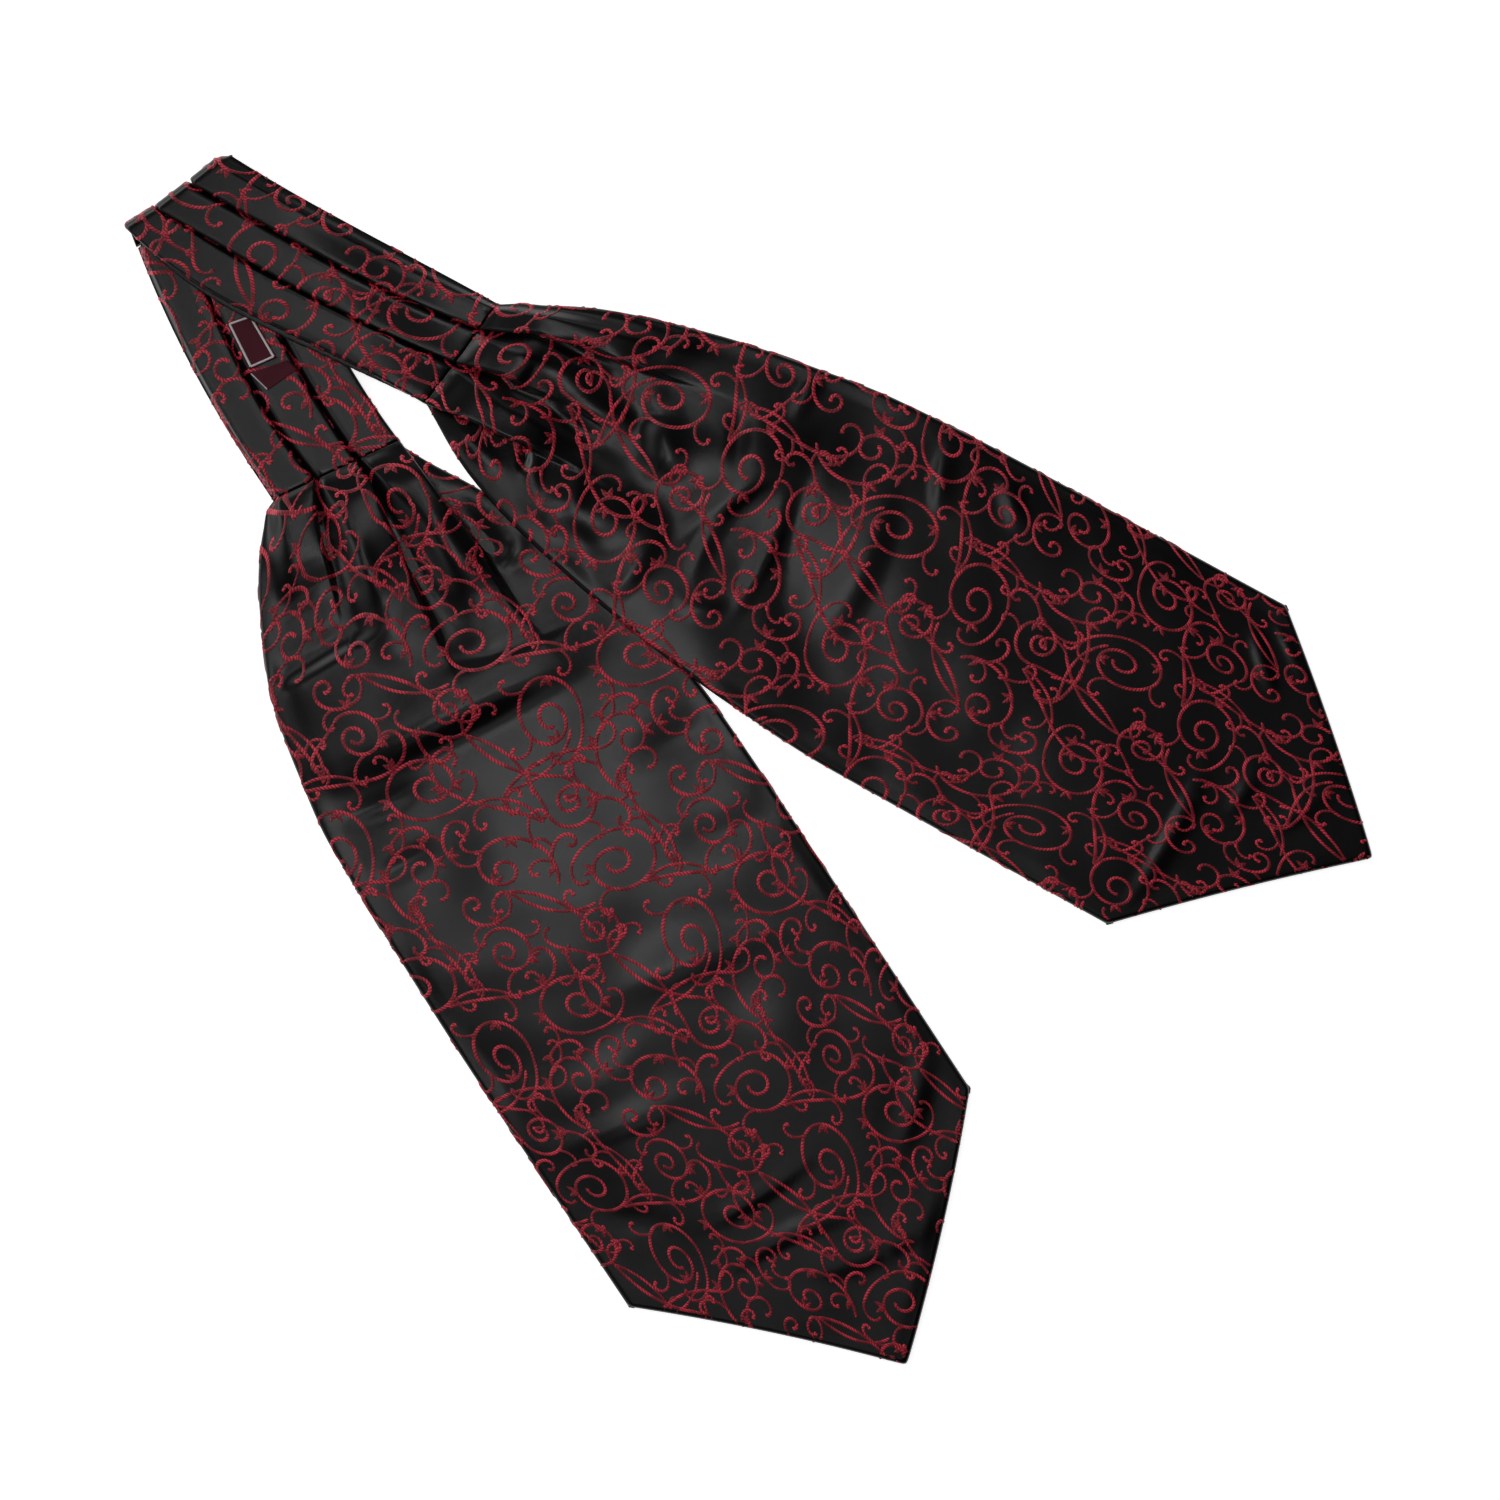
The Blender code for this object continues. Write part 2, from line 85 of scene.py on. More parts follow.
# Steps
ROLL_STEPS, TIP_STEPS = 7, 10  # in half a rolled edge, and in the upper half of a blade's pointed end
STRIP_STEPS, LAST_STEPS = 15, 18
CREST_STEPS, FOLD_STEPS, TUCK_STEPS = 3, 8, 3
NEAR_STEP, FAR_STEP = 0.8, 1.5  # between a blade's rows: close to its seam, and further along
FIRST_ROW, SECOND_ROW, NEAR_ENDS = 0.1, 0.3, 84.0
BAND_STEP = 1.2
WRAP_STEPS = 20
BACK_STEP, BACK_COLUMNS = 3.0, 44
SMALLEST_CUT = 0.01  # metres, the smallest width or length that cut() gives
TINY = 1e-9
MOST_STRETCH = 2.0  # of what a pleat hides, on the flat cloth


def smooth(x):
    x = np.clip(x, 0.0, 1.0)
    return x * x * (3 - 2 * x)


def read(rows, column, at):
    """The column's value this far along: a smooth curve through the rows that never overshoots them."""
    xs, ys = rows["along"], rows[column]
    at = min(max(at, xs[0]), xs[-1])
    slopes = [(ys[i + 1] - ys[i]) / (xs[i + 1] - xs[i]) for i in range(len(xs) - 1)]
    inner = [2 * a * b / (a + b) if a * b > 0 else 0 for a, b in zip(slopes, slopes[1:])]
    tangents = [slopes[0], *inner, slopes[-1]]
    i = max(k for k in range(len(xs) - 1) if xs[k] <= at)
    span = xs[i + 1] - xs[i]
    u = (at - xs[i]) / span
    begin = (1 + 2 * u) * ys[i] + u * span * tangents[i]
    end = (3 - 2 * u) * ys[i + 1] - (1 - u) * span * tangents[i + 1]
    return (1 - u) ** 2 * begin + u * u * end


def table(columns, *rows):
    """The rows as one tuple for each named column."""
    return dict(zip(columns.split(), zip(*rows)))


# How one pleat opens, by distance from the seam over the pleat's reach
OPENING = table(
    "along angle radius tuck",
    (0, 180, 0.7, 1),
    (0.2, 172, 0.74, 0.66),
    (0.5, 154, 0.82, 0.24),
    (0.8, 122, 1.05, 0.12),
    (1, 84, 1.4, 0.11),
    (1.2, 42, 2, 0.12),
    (1.5, 14, 3, 0.13),
    (1.9, 0, 4.4, 0.14),
)

# A blade's frame, edges, pleats and largest folds are its solid's. Creases are the smaller folds that
# only the shell has, and the scrollwork runs along the cloth's grain (1) or back along it (-1). A fold is
# where its middle is along and across, its heading, length, width and height, and then, if it has them,
# its bend and how much steeper one side is.
UPPER = SimpleNamespace(
    name="upper",
    x=-113.8,
    y=160.8,
    heading=-29.3,
    side=1,
    lean=0.112,
    corner=336.5,
    point=79.5,
    tip_across=2.0,
    tip_sway=1.5,
    edges=table(
        "along first last",
        (0, 25, 24), (8, 30, 28.9), (16, 33.4, 34.1), (28, 38.8, 40.9), (45, 45.5, 47.6),
        (65, 51.8, 53), (95, 59.4, 59.6), (125, 64.8, 65), (160, 69.7, 69.4), (210, 72.2, 72.5),
        (337, 74.1, 72.2),
    ),
    pleats=table(
        "along one two three",
        (0, 12.9, -3.6, -24), (10, 16.9, -1, -22.4), (21, 22.2, 1, -21), (31, 24.1, 0.5, -20.2),
        (49, 27.6, -0.5, -18.6), (64, 29.6, -1.5, -19.5), (120, 38, -3, -26),
    ),
    reach=dict(one=60.0, two=24.0, three=41.0),
    tuck=dict(one=4.8, two=9.5, three=12.0),
    folds=(
        (48, 9, -12, 70, 9, 2.4),
        (84, 12, -48, 46, 7, 2.6),
        (78, -30, 20, 70, 10, 2.2),
        (120, 18, 35, 90, 13, 2),
        (150, -28, -30, 90, 14, 0.8),
        (215, 40, 6, 150, 16, 0.4),
        (270, -20, -14, 120, 18, 0.5),
    ),
    creases=(
        (40, 27, 8, 80, 9, 1.4),
        (42, 23.5, 5, 38, 3.2, -2.6, 0, 0.3),
        (30, 11, 14, 62, 5, 0.7),
        (72, 38, 60, 44, 5.5, 1.1, 3),
        (16, -5, -10, 28, 5, -1),
        (52, -5, 5, 32, 6, -1.5),
        (78, 15, 40, 24, 5.5, -1.6),
        (60, 7.5, 10, 48, 4.5, 0.8, 2),
        (42.5, -23.5, -62, 13, 2, -1.9),
        (48, -27, -60, 24, 3.5, 0.7),
        (24, -30, -14, 34, 3.5, 0.8, 2),
        (66, -24, -66, 26, 4, 0.8),
        (76, -41, -20, 34, 5, -0.9),
        (94, 6, 62, 40, 8, 1.2),
        (102, -40, 80, 52, 6, 1.3, 3, 0.3),
        (119, -2, 64, 66, 5.5, 1.5, -3, 0.3),
        (113, 25, -66, 34, 4, -0.8),
        (122, -12, 86, 56, 3.2, 0.8, -6),
        (146, -12, 94, 70, 3.4, 0.9, 5, 0.3),
        (134, -42, 30, 24, 3.2, 0.7, 3),
        (149, 6, 106, 96, 4, -0.5, -5),
        (181, 4, 96, 84, 9, 1.3, 7, 0.5),
        (128, 54, 88, 30, 3, 0.9),
        (191, 50, -70, 38, 3.6, 0.9, 2, 0.3),
        (221, 55, -46, 30, 4, 0.8),
        (250, -30, 74, 90, 12, 0.4, 4, 0.3),
        (341, -30, 91, 86, 3.4, 0.9, 3, -0.3),
        (339, 48, -46, 38, 3, 0.8),
        (347, 58, -36, 34, 2.5, 0.6),
        (358, 0, 88, 34, 3, 0.6),
        (381, 2, 68, 36, 4, 0.6),
    ),
    dome=1.2,
    grain=1,
)
LOWER = SimpleNamespace(
    name="lower",
    x=-163.4,
    y=114.8,
    heading=-57.4,
    side=-1,
    lean=-0.127,
    corner=344.5,
    point=79.5,
    tip_across=0.0,
    tip_sway=-2.4,
    edges=table(
        "along first last",
        (0, 28.6, 26.6), (2, 32.4, 27), (8, 38, 29.6), (16, 45.4, 33.4), (28, 54.8, 39.4),
        (45, 64.4, 47.4), (65, 72.8, 56.8), (95, 79.4, 67.2), (125, 83.8, 72.8), (160, 84.7, 76.6),
        (210, 85, 78), (345, 82.5, 79.8),
    ),
    pleats=table(
        "along one two three",
        (0, 10.4, -7.8, -26.6), (11, 16.3, -8, -27.6), (24, 21.6, -6.2, -28.4),
        (40, 26, -3.6, -29.5), (55, 29, -1.2, -31), (67, 31, 0, -30.6), (120, 36, 2, -34),
    ),
    reach=dict(one=29.0, two=56.0, three=60.0),
    tuck=dict(one=10.0, two=11.0, three=11.5),
    folds=(
        (67, 34, 93, 110, 14, 1.8, 0, -0.45),
        (105, 14, 96, 158, 14, 4, 0, 0.55),
        (36, 12, 4, 40, 5, 1.6),
        (205, 34, 10, 160, 17, 0.4),
        (285, -26, -8, 130, 18, 0.5),
    ),
    creases=(
        (59, 45, 92, 74, 4.5, -1.3, 0, 0.3),
        (46, 36, 80, 36, 7, 0.8),
        (98, -26, 100, 80, 3, -0.8, 4),
        (19, 15, 8, 40, 6, -1.8),
        (30, 26, 96, 44, 13, -1.1),
        (32, 44, 24, 54, 9, -1.6, 0, -0.3),
        (36, 31, 62, 30, 5, 0.6),
        (42, -10, 6, 62, 9, -3, 0, 0.3),
        (74, -8, 20, 50, 9, -1.6),
        (46, -22, -4, 90, 6, 0.8, -2),
        (54, -34, -6, 60, 6.5, -2.2),
        (66, -40, 70, 24, 4, 0.9),
        (122, 58, 98, 50, 4, -0.8, 2),
        (147, 62, 92, 34, 4, -0.6),
        (164, -52, 98, 46, 7, -0.9, 0, 0.2),
        (207, -56, 104, 56, 8, -0.9, 3, 0.2),
        (242, -10, 100, 116, 8, 1.1, -4, 0.3),
        (262, 40, 82, 60, 9, 0.6),
        (283, 46, 101, 84, 6, 0.8, 3, 0.3),
        (317, 64, -56, 40, 6, -0.7),
        (335, 16, 90, 78, 4, 0.7, 4, 0.3),
        (355, 14, 97, 82, 4, 0.7, -4, 0.3),
        (378, -8, 102, 70, 6, 0.8, 5, 0.2),
        (336, -58, 48, 62, 5, 0.8, 3),
    ),
    dome=1.4,
    grain=-1,
)

# Long soft waves that keep the flat stretches from being dead level: heading, length, height and phase
WAVES = (
    (12, 92, 0.24, 0.3),
    (75, 61, 0.17, 1.9),
    (-38, 43, 0.11, 4.1),
    (104, 118, 0.22, 2.7),
    (31, 27, 0.05, 5.2),
    (-66, 34, 0.06, 0.9),
)

# The band: where its lines turn, and how far each line of a stretch is bowed and where most
TURN = ((-205.2, 239.8), (-219.9, 228.2), (-233.6, 217.8), (-246.0, 210.0))
UPPER_BOW = ((1.0, 0.30), (2.7, 0.58), (2.7, 0.58), (4.6, 0.30))
LOWER_BOW = ((4.0, 0.48), (4.2, 0.66), (2.2, 0.70), (2.2, 0.70))
SELVEDGE = 2.7
TAIL, TAIL_GAP = 0.05, 0.005  # shares of a stretch: at its turn, and between the two stretches there
SEAM_SHARE = 0.9985
TUCK_ROOM = dict(one=6.7, two=5.2, three=5.2)

# The rim of the lower stretch that the upper one lies over, and how high it lifts it there
RIM = (
    (-205.2, 239.8, STACK + LAY_GAP),
    (-138.6, 126.6, STACK + LAY_GAP),
    (-105.8, 105.6, 3.6),
    (-67.4, 81.6, 3.6),
    (-16.6, 26.8, 3.2),
    (8, -8, 2.9),
)
RIM_MARGIN, RIM_FALL = 3.0, 44.0

# How a blade changes, by the distance from its seam
RISE_BY = 22.0
LEAN_TO = 40.0
CLEAR_OF_FOLDS, CLEAR_OF_CREASES = (20.0, 14.0), (5.0, 7.0)  # from the seam, and along the edges
EVEN_FROM, EVEN_BY = 70.0, 150.0
POINT_FROM = 90.0
TIP_ROUND = 0.012
DOME_FROM, DOME_BY = 70.0, 60.0  # the flat part of a blade is a low dome
BACK_START = 14.0

# Ribbons, with their near corners first
LABEL = ((-207.7, 173.4), (-197.8, 176.9), (-198.5, 154.7), (-187.5, 159.6))
CARE_TAG = ((-198.4, 153.2), (-183.4, 158.6), (-191.4, 146.4), (-179.4, 154.8))
RIBBON_STEPS = (24, 14)
RIBBON_SHELL = 0.3
RIBBON_LIFT = 0.55  # of its face over the pleats
RIBBON_CURL = 0.1  # how far the corners of its far end rise
RIBBON_WAVE = (0.06, 5, 3)  # height, and turns in radians along and across
# A ribbon's name and corners, and its white line: how far in, how wide, and on which sides
RIBBONS = (("label", LABEL, 0.9, 0.8, (0, 1, 2, 3)), ("care_tag", CARE_TAG, 0.35, 0.5, (2,)))

# Sewing
STITCH, STITCH_GAP, STITCH_WIDTH = 2.6, 2.2, 0.42
STITCH_POINTS, STITCH_ENDS = 6, (0.12, 0.88)  # and the part of a hump that shapes it
SELVEDGE_STITCHES, STITCH_INSET = 11, 12.0  # columns from the edge, and distance from the row's ends

# Scrollwork: one repeat, in its own x and y
REPEAT = (105.0, 100.0)
LINE, ARM = 1.45, 1.25  # width of a main stroke and of its arms
BULB = 0.95  # radius of the drop that ends a line
DROP = (4.8, 2.1)  # length and width of a small leaf
LEAF_SPREAD = 30.0
LEAF_ENDS, LEAF_SKEW = (0.03, 0.97), 0.8  # the part of a hump that shapes it, and how it leans to its root
DRAW_STEP = 0.7
BEGINS, ENDS = (1.5, 3.0), (0.6, 2.0)  # how far into its taper a line begins or ends, and the taper's length
PROUD = (0.02, 0.34, 0.02)  # height of a line's left, middle and right over the cloth
CROSS_OVER, CROSSINGS = 0.012, 7  # each line lies this much higher than the last, up to so many times

# A bough is a main stroke (length, first, second, curl, oval), its arms (share, angle, length, first, second,
# curl) and its pairs of leaves (share, angle), which start at these shares of it. Angles are in degrees and
# turn to the left: a stroke's turn is first and second over its two halves, and curl at its end, where a
# curled one has a drop. Oval is how far from round its turns are.
BOUGHS = {
    "oval": (
        (98, 215, 215, 260, -0.3),
        [(0, 178, 34, -20, -60, -150), (0.32, -30, 15, -40, -80, -150), (0.52, -26, 18, -60, -90, -160)],
        [(0.2, -90), (0.64, -90)],
    ),
    "ring": (
        (68, 210, 210, 260, 0.16),
        [(0, 178, 26, 30, -40, -160), (0.26, -28, 14, -50, -80, -150), (0.52, -24, 20, -30, -100, -200)],
        [(0.4, -90)],
    ),
    "loop": (
        (86, 130, 215, 260, 0.22),
        [(0.1, 30, 18, 60, 90, 170), (0.24, -30, 22, -40, -80, -190), (0.5, -28, 14, -40, -80, -140)],
        [(0.36, -90), (0.7, -90)],
    ),
    "sweep": (
        (72, -50, 112, 240, 0),
        [(0, 30, 34, -50, -36, 0), (0.2, 40, 15, 60, 90, 150), (0.34, -34, 18, -60, -100, -190)],
        [(0.6, -90)],
    ),
    "lens": (
        (42, 28, 28, 0, 0),
        [(0, 38, 38, -20, -48, 0), (0, 176, 16, -50, -80, -160), (0.99, -8, 20, -60, -100, -170)],
        [],
    ),
    "hook": (
        (38, 70, 150, 230, 0),
        [(0.04, 172, 15, -50, -70, -150), (0.34, -30, 14, -50, -80, -150)],
        [(0.18, 90)],
    ),
    "crook": ((26, 30, 130, 200, 0), [(0.3, -36, 13, -50, -80, -150)], [(0.04, 180)]),
}
# Where the boughs stand in the repeat: x and y of the main stroke's middle, its first heading and its hand
PLACES = (
    ("oval", 18, 18, 100, 1),
    ("oval", 84, 26, 20, -1),
    ("oval", 84, 66, 290, 1),
    ("ring", 46, 12, 190, -1),
    ("ring", 12, 58, 60, 1),
    ("ring", 103, 94, 140, -1),
    ("loop", 52, 42, 300, 1),
    ("loop", 37, 80, 40, -1),
    ("sweep", 70, 86, 330, 1),
    ("sweep", 104, 46, 100, -1),
    ("sweep", 27, 43, 10, 1),
    ("lens", 64, 14, 70, 1),
    ("lens", 14, 82, 120, 1),
    ("lens", 76, 4, 175, -1),
    ("hook", 30, 59, 250, 1),
    ("hook", 58, 66, 330, 1),
    ("crook", 70, 50, 60, 1),
    ("crook", 36, 27, 120, 1),
    ("crook", 34, 99, 20, 1),
    ("crook", 96, 80, 200, -1),
)

# Light. The tent's strength is these fades multiplied: each goes by one part of a direction, and is given
# as that part's two ends and the strength at each.
TENT = (
    ("Z", (0.40, 0.80, 1.0, 0.02)),  # open above
    ("Z", (0.25, 0.55, 0.25, 1.0)),  # dimmer near the table
    ("X", (-0.9, 0.5, 2.4, 0.08)),  # brighter on the left
    ("Y", (-0.5, 0.6, 0.2, 1.6)),  # and at the back
)
# Lamps: name, x, y, width, length and watts
LAMPS = (
    ("Sheen", -0.155, -0.06, 0.15, 0.32, 0.6),
    ("Crown", -0.13, 0.2, 0.14, 0.2, 0.32),
    ("Foot", 0.02, -0.42, 0.28, 0.4, 0.24),
    ("Far", -0.27, 0.43, 0.3, 0.2, 0.4),
    ("Right", 0.4, -0.05, 0.36, 0.5, 0.07),
    ("Fold", -0.61, 0.13, 0.15, 0.24, 0.27),
    ("Fill", -0.1, 0.1, 1, 1, 1.7),  # nothing mirrors this one
)
LAMP_HEIGHT = 1.42
CAMERA_AT = (0.0014, 0.0028, 1.4187)
LENS, SENSOR = 85, 36
FLOOR_SIZE, FLOOR_TOP = 6, -0.0001
BAND_SCALE = 0.314  # a wave texture's scale times the distance between its bands
YARN_TWIST = 38.0


# ---------- sections


def hump(u, peak):
    """0 at both ends of 0..1 and 1 at the peak."""
    if peak > 0.5:
        u, peak = 1 - u, 1 - peak
    power = (1 - peak) / peak
    return u * (1 - u) ** power / (peak * (1 - peak) ** power)


def lift_at(x, y):
    """How high the upper stretch is held up at these places by the lower one."""
    nearest, lift = np.full(np.shape(x), np.inf), np.zeros(np.shape(x))
    for (ax, ay, high), (bx, by, low) in zip(RIM, RIM[1:]):
        dx, dy = bx - ax, by - ay
        u = np.clip(((x - ax) * dx + (y - ay) * dy) / (dx * dx + dy * dy), 0.0, 1.0)
        away = np.hypot(x - ax - u * dx, y - ay - u * dy)
        outside = dx * (y - ay) - dy * (x - ax) > 0
        here = high + u * (low - high)
        here = np.where(outside, here * (1 - smooth((away - RIM_MARGIN) / RIM_FALL)), here)
        closer = away < nearest - TINY
        nearest, lift = np.where(closer, away, nearest), np.where(closer, here, lift)
    return lift


def edge_roll(edge, inward, level, roll):
    """A rolled edge as (across, height), from what is turned in underneath to where the cloth is level."""
    under = np.linspace(math.pi, math.pi / 2, ROLL_STEPS)
    over = np.linspace(math.pi / 2, 0, ROLL_STEPS)[1:]
    depth = np.r_[TURNED_IN, UNDER_ROLL * (1 - np.sin(under)), roll * (1 - np.sin(over))]
    height = np.r_[(EDGE_MIDDLE - ON_TABLE) * np.cos(under), (level - EDGE_MIDDLE) * np.cos(over)]
    return edge + inward * depth, np.r_[ON_TABLE, EDGE_MIDDLE + height]


def pleated_section(first, last, pleats, floor, roll, fullness=1.0):
    """The outer face of the cloth across one row, from first edge to last: distances across, heights,
    and the column of the solid that each point belongs to. A pleat is its place across, angle, radius
    and tuck, and fullness is how much the strips between them bulge."""
    level = floor + FACE
    across, up = edge_roll(first, -1, level, roll)
    columns = [np.linspace(0, EDGE_COLUMNS, len(across))]
    across, up = [across], [up]
    start, column = across[0][-1], EDGE_COLUMNS

    def add(a, z, slots):
        across.append(a)
        up.append(z + np.zeros(len(a)))
        columns.append(slots)

    for number, (at, angle, radius, tuck) in enumerate(pleats, 1):
        angle = math.radians(angle)
        drop = 2 * radius * (1 - math.cos(angle)) + tuck * math.sin(angle)
        turn = np.linspace(0, angle, FOLD_STEPS)
        top, above = at + radius, floor + drop - radius
        bottom = top - 2 * radius * math.sin(angle) - tuck * math.cos(angle)
        covered = max(top, bottom + radius * math.sin(min(angle, math.pi / 2))) - at
        crest = min(at + covered + WALL, start - STRIP_RISE * drop)
        crest = max(crest, top + CLEAR)
        u = np.linspace(0, 1, STRIP_STEPS + 1)[1:]
        add(
            start + u * (crest - start),
            level + drop * smooth(u / RISE_SHARE) + fullness * CROWN * np.sin(math.pi * u) ** 2,
            column + STRIP_COLUMNS * u,
        )
        column += STRIP_COLUMNS
        u = np.linspace(0, 1, CREST_STEPS + 2)[1:-1]
        add(crest + u * (top - crest), level + drop, column + u)
        column += 1
        outer, inner = radius + FACE, radius - FACE
        share = np.linspace(0, 1, FOLD_STEPS)
        add(top - outer * np.sin(turn), above + outer * np.cos(turn), column + FOLD_COLUMNS * share)
        column += FOLD_COLUMNS
        from_a, from_z = across[-1][-1], up[-1][-1]
        back = turn[::-1]
        to_a, to_z = bottom + inner * np.sin(back), floor + radius - inner * np.cos(back)
        u = np.linspace(0, 1, TUCK_STEPS + 2)[1:-1]
        add(from_a + u * (to_a[0] - from_a), from_z + u * (to_z[0] - from_z), column + u)
        column += 1
        add(to_a, to_z, column + FOLD_COLUMNS * share)
        column += FOLD_COLUMNS
        start = min(at, bottom) - CLEAR
        if number < len(pleats):
            add([start], level, [column + 1])
            column += 1
    begin, end = across[-1][-1], last + roll
    u = np.linspace(0, 1, LAST_STEPS + 1)[1:]
    level_part = begin + u * (end - begin)
    shown = max(start - end, 0.0)
    rise = np.clip((start - level_part) / max(shown, 1.0), 0, 1)
    crown = fullness * min(LAST_CROWN, CROWN_SHARE * shown)
    add(level_part, level + crown * np.sin(math.pi * rise), column + LAST_COLUMNS * u)
    column += LAST_COLUMNS
    edge_a, edge_z = edge_roll(last, 1, level, roll)
    add(edge_a[-2::-1], edge_z[-2::-1], column + np.linspace(0, EDGE_COLUMNS, len(edge_a))[1:])
    return np.concatenate(across), np.concatenate(up), np.concatenate(columns)


def place(blade, along, across):
    """The plan position of points of a blade."""
    heading, aside = math.radians(blade.heading), blade.side * across
    x = blade.x + along * math.cos(heading) - aside * math.sin(heading)
    return x, blade.y + along * math.sin(heading) + aside * math.cos(heading)


def lean_at(blade, row, across):
    return blade.lean * across * (1 - smooth(row / LEAN_TO))


def laid_out(blade, row, across, inwards, corner, point):
    """Where these points of a blade lie: how far along it, and their x and y."""
    pointed = smooth((row - POINT_FROM) / (corner - POINT_FROM))
    along = row + lean_at(blade, row, across) + pointed * point * inwards
    sway = blade.tip_across * inwards + blade.tip_sway * 4 * inwards * (1 - inwards)
    return along, *place(blade, along, across + pointed * sway)


def pleats_at(blade, row):
    found = []
    for name in PLEATS:
        share = row / blade.reach[name]
        angle, radius, tuck = (read(OPENING, column, share) for column in ("angle", "radius", "tuck"))
        found.append((read(blade.pleats, name, row), angle, radius, tuck * blade.tuck[name]))
    return found


def fold_height(folds, along, across):
    """How far these folds raise the cloth at these places. A crease bends to one side towards its ends, and
    is steeper on one side than on the other."""
    height = np.zeros(np.shape(along))
    for fold in folds:
        at, side, heading, length, width, high, bend, steep = (*fold, 0, 0)[:8]
        turn = math.radians(heading)
        dx, dy = along - at, across - side
        u = (dx * math.cos(turn) + dy * math.sin(turn)) / (length / 2)
        v = dy * math.cos(turn) - dx * math.sin(turn) - bend * u * u
        v = v / (width * (1 + steep * np.tanh(v / width)))
        height += np.where(np.abs(u) < 1, high * (1 - u * u) ** 2, 0) * np.exp(-v * v)
    return height


def wave_height(along, across):
    height = np.zeros(np.shape(along))
    for heading, length, high, phase in WAVES:
        turn = math.radians(heading)
        way = along * math.cos(turn) + across * math.sin(turn)
        height += high * np.sin(2 * math.pi * way / length + phase)
    return height


def pinch(height, away, across):
    """Heights near a seam, which pulls the cloth down, further between its puckers."""
    pucker = 1
    for apart, deep, phase in PUCKERS:
        pucker = pucker + deep * np.sin(2 * math.pi * across / apart + phase)
    near = np.exp(-((away / (SEAM_REACH * pucker)) ** 2))
    return height - SEAM_PINCH * pucker * (height - EDGE_MIDDLE) * near


# ---------- surfaces


def blade_rows(corner, roll, slope):
    """Where a blade's rows run, and how high each stands from the edge's middle (0) to the level (1) or,
    under the edge, to the table (-1). The first few are the seam's allowance, under the band."""
    rows = [-back for back, _ in ALLOWANCE] + [FIRST_ROW]
    rows += list(np.arange(SECOND_ROW, NEAR_ENDS, NEAR_STEP))
    rows += list(np.arange(rows[-1] + NEAR_STEP, corner - roll / slope, FAR_STEP))
    over = np.linspace(0, math.pi / 2, TIP_STEPS)
    under = np.linspace(math.pi / 2, math.pi, ROLL_STEPS)[1:]
    rise = [1.0] * len(rows) + list(np.cos(over)) + list(np.cos(under)) + [-1.0]
    rows += list(corner - roll * (1 - np.sin(over)) / slope)
    rows += list(corner - UNDER_ROLL * (1 - np.sin(under)) / slope)
    rows.append(corner - TURNED_IN / slope)
    return np.array(rows), np.array(rise)


def slope_of(blade):
    """How steep the edges of its pointed end are, as the cosine of their angle."""
    return math.cos(math.atan2(blade.point, (blade.edges["first"][-1] + blade.edges["last"][-1]) / 2))


def blade_front(blade):
    """The front ply of a blade as a grid of points, with its place on the flat cloth."""
    slope = slope_of(blade)
    rows, rise = blade_rows(blade.corner + FACE / slope, BLADE_ROLL, slope)
    grid = []
    for row in rows:
        first, last = read(blade.edges, "first", row), -read(blade.edges, "last", row)
        climbed = smooth(row / RISE_BY)
        floor = FACE + (WALL + PLY_GAP) * climbed
        roll = BAND_ROLL + (BLADE_ROLL - BAND_ROLL) * climbed
        full = 1 - smooth((row - FULL_TO) / FULL_TO)
        across, up, columns = pleated_section(first, last, pleats_at(blade, row), floor, roll, full)
        for back, below in ALLOWANCE:
            if row == -back:
                up = np.maximum(up - below, ON_TABLE + SHELL)
        share = (columns - EDGE_COLUMNS) / (columns[-1] - 2 * EDGE_COLUMNS)
        even = first - BLADE_ROLL + share * (last - first + 2 * BLADE_ROLL)
        evened = smooth((row - EVEN_FROM) / (EVEN_BY - EVEN_FROM))
        across = across + np.where((share >= 0) & (share <= 1), evened, 0) * (even - across)
        grid.append((across, pinch(up, row, across), np.full(len(across), first), np.full(len(across), last)))
    across, up, first, last = (np.array(part) for part in zip(*grid))
    row, rise = rows[:, None], rise[:, None]
    middle, half = (first + last) / 2, (first - last) / 2 - FACE
    inwards = 1 - np.hypot((across - middle) / half, TIP_ROUND)
    along, x, y = laid_out(blade, row, across, inwards, blade.corner, blade.point)
    from_edge = np.clip((blade.corner - row) * slope, 0, None)
    inside = np.minimum(first - across - WALL, across - last - WALL)
    for folds, (begins, margin) in ((blade.folds, CLEAR_OF_FOLDS), (blade.creases, CLEAR_OF_CREASES)):
        clear = np.clip(inside, 0, margin) / margin * np.minimum(1, from_edge / margin) * smooth(row / begins)
        up = up + fold_height(folds, along, across) * smooth(clear)
    up = up + wave_height(along, across) * smooth(clear)
    bulge = np.clip(1 - ((across - middle) / (half - BLADE_ROLL)) ** 2, 0, 1)
    up = up + blade.dome * bulge * smooth((row - DOME_FROM) / DOME_BY) * smooth(from_edge / DOME_BY)
    over, under = np.clip(rise, 0, 1), np.clip(-rise, 0, 1)
    up = EDGE_MIDDLE + (up - EDGE_MIDDLE) * over - (EDGE_MIDDLE - ON_TABLE) * under
    if blade is UPPER:
        up = up + lift_at(x, y)
    points = np.stack([x, y, up], axis=-1)
    return points, along, flat_across(across, points, smooth(rows / EVEN_BY))


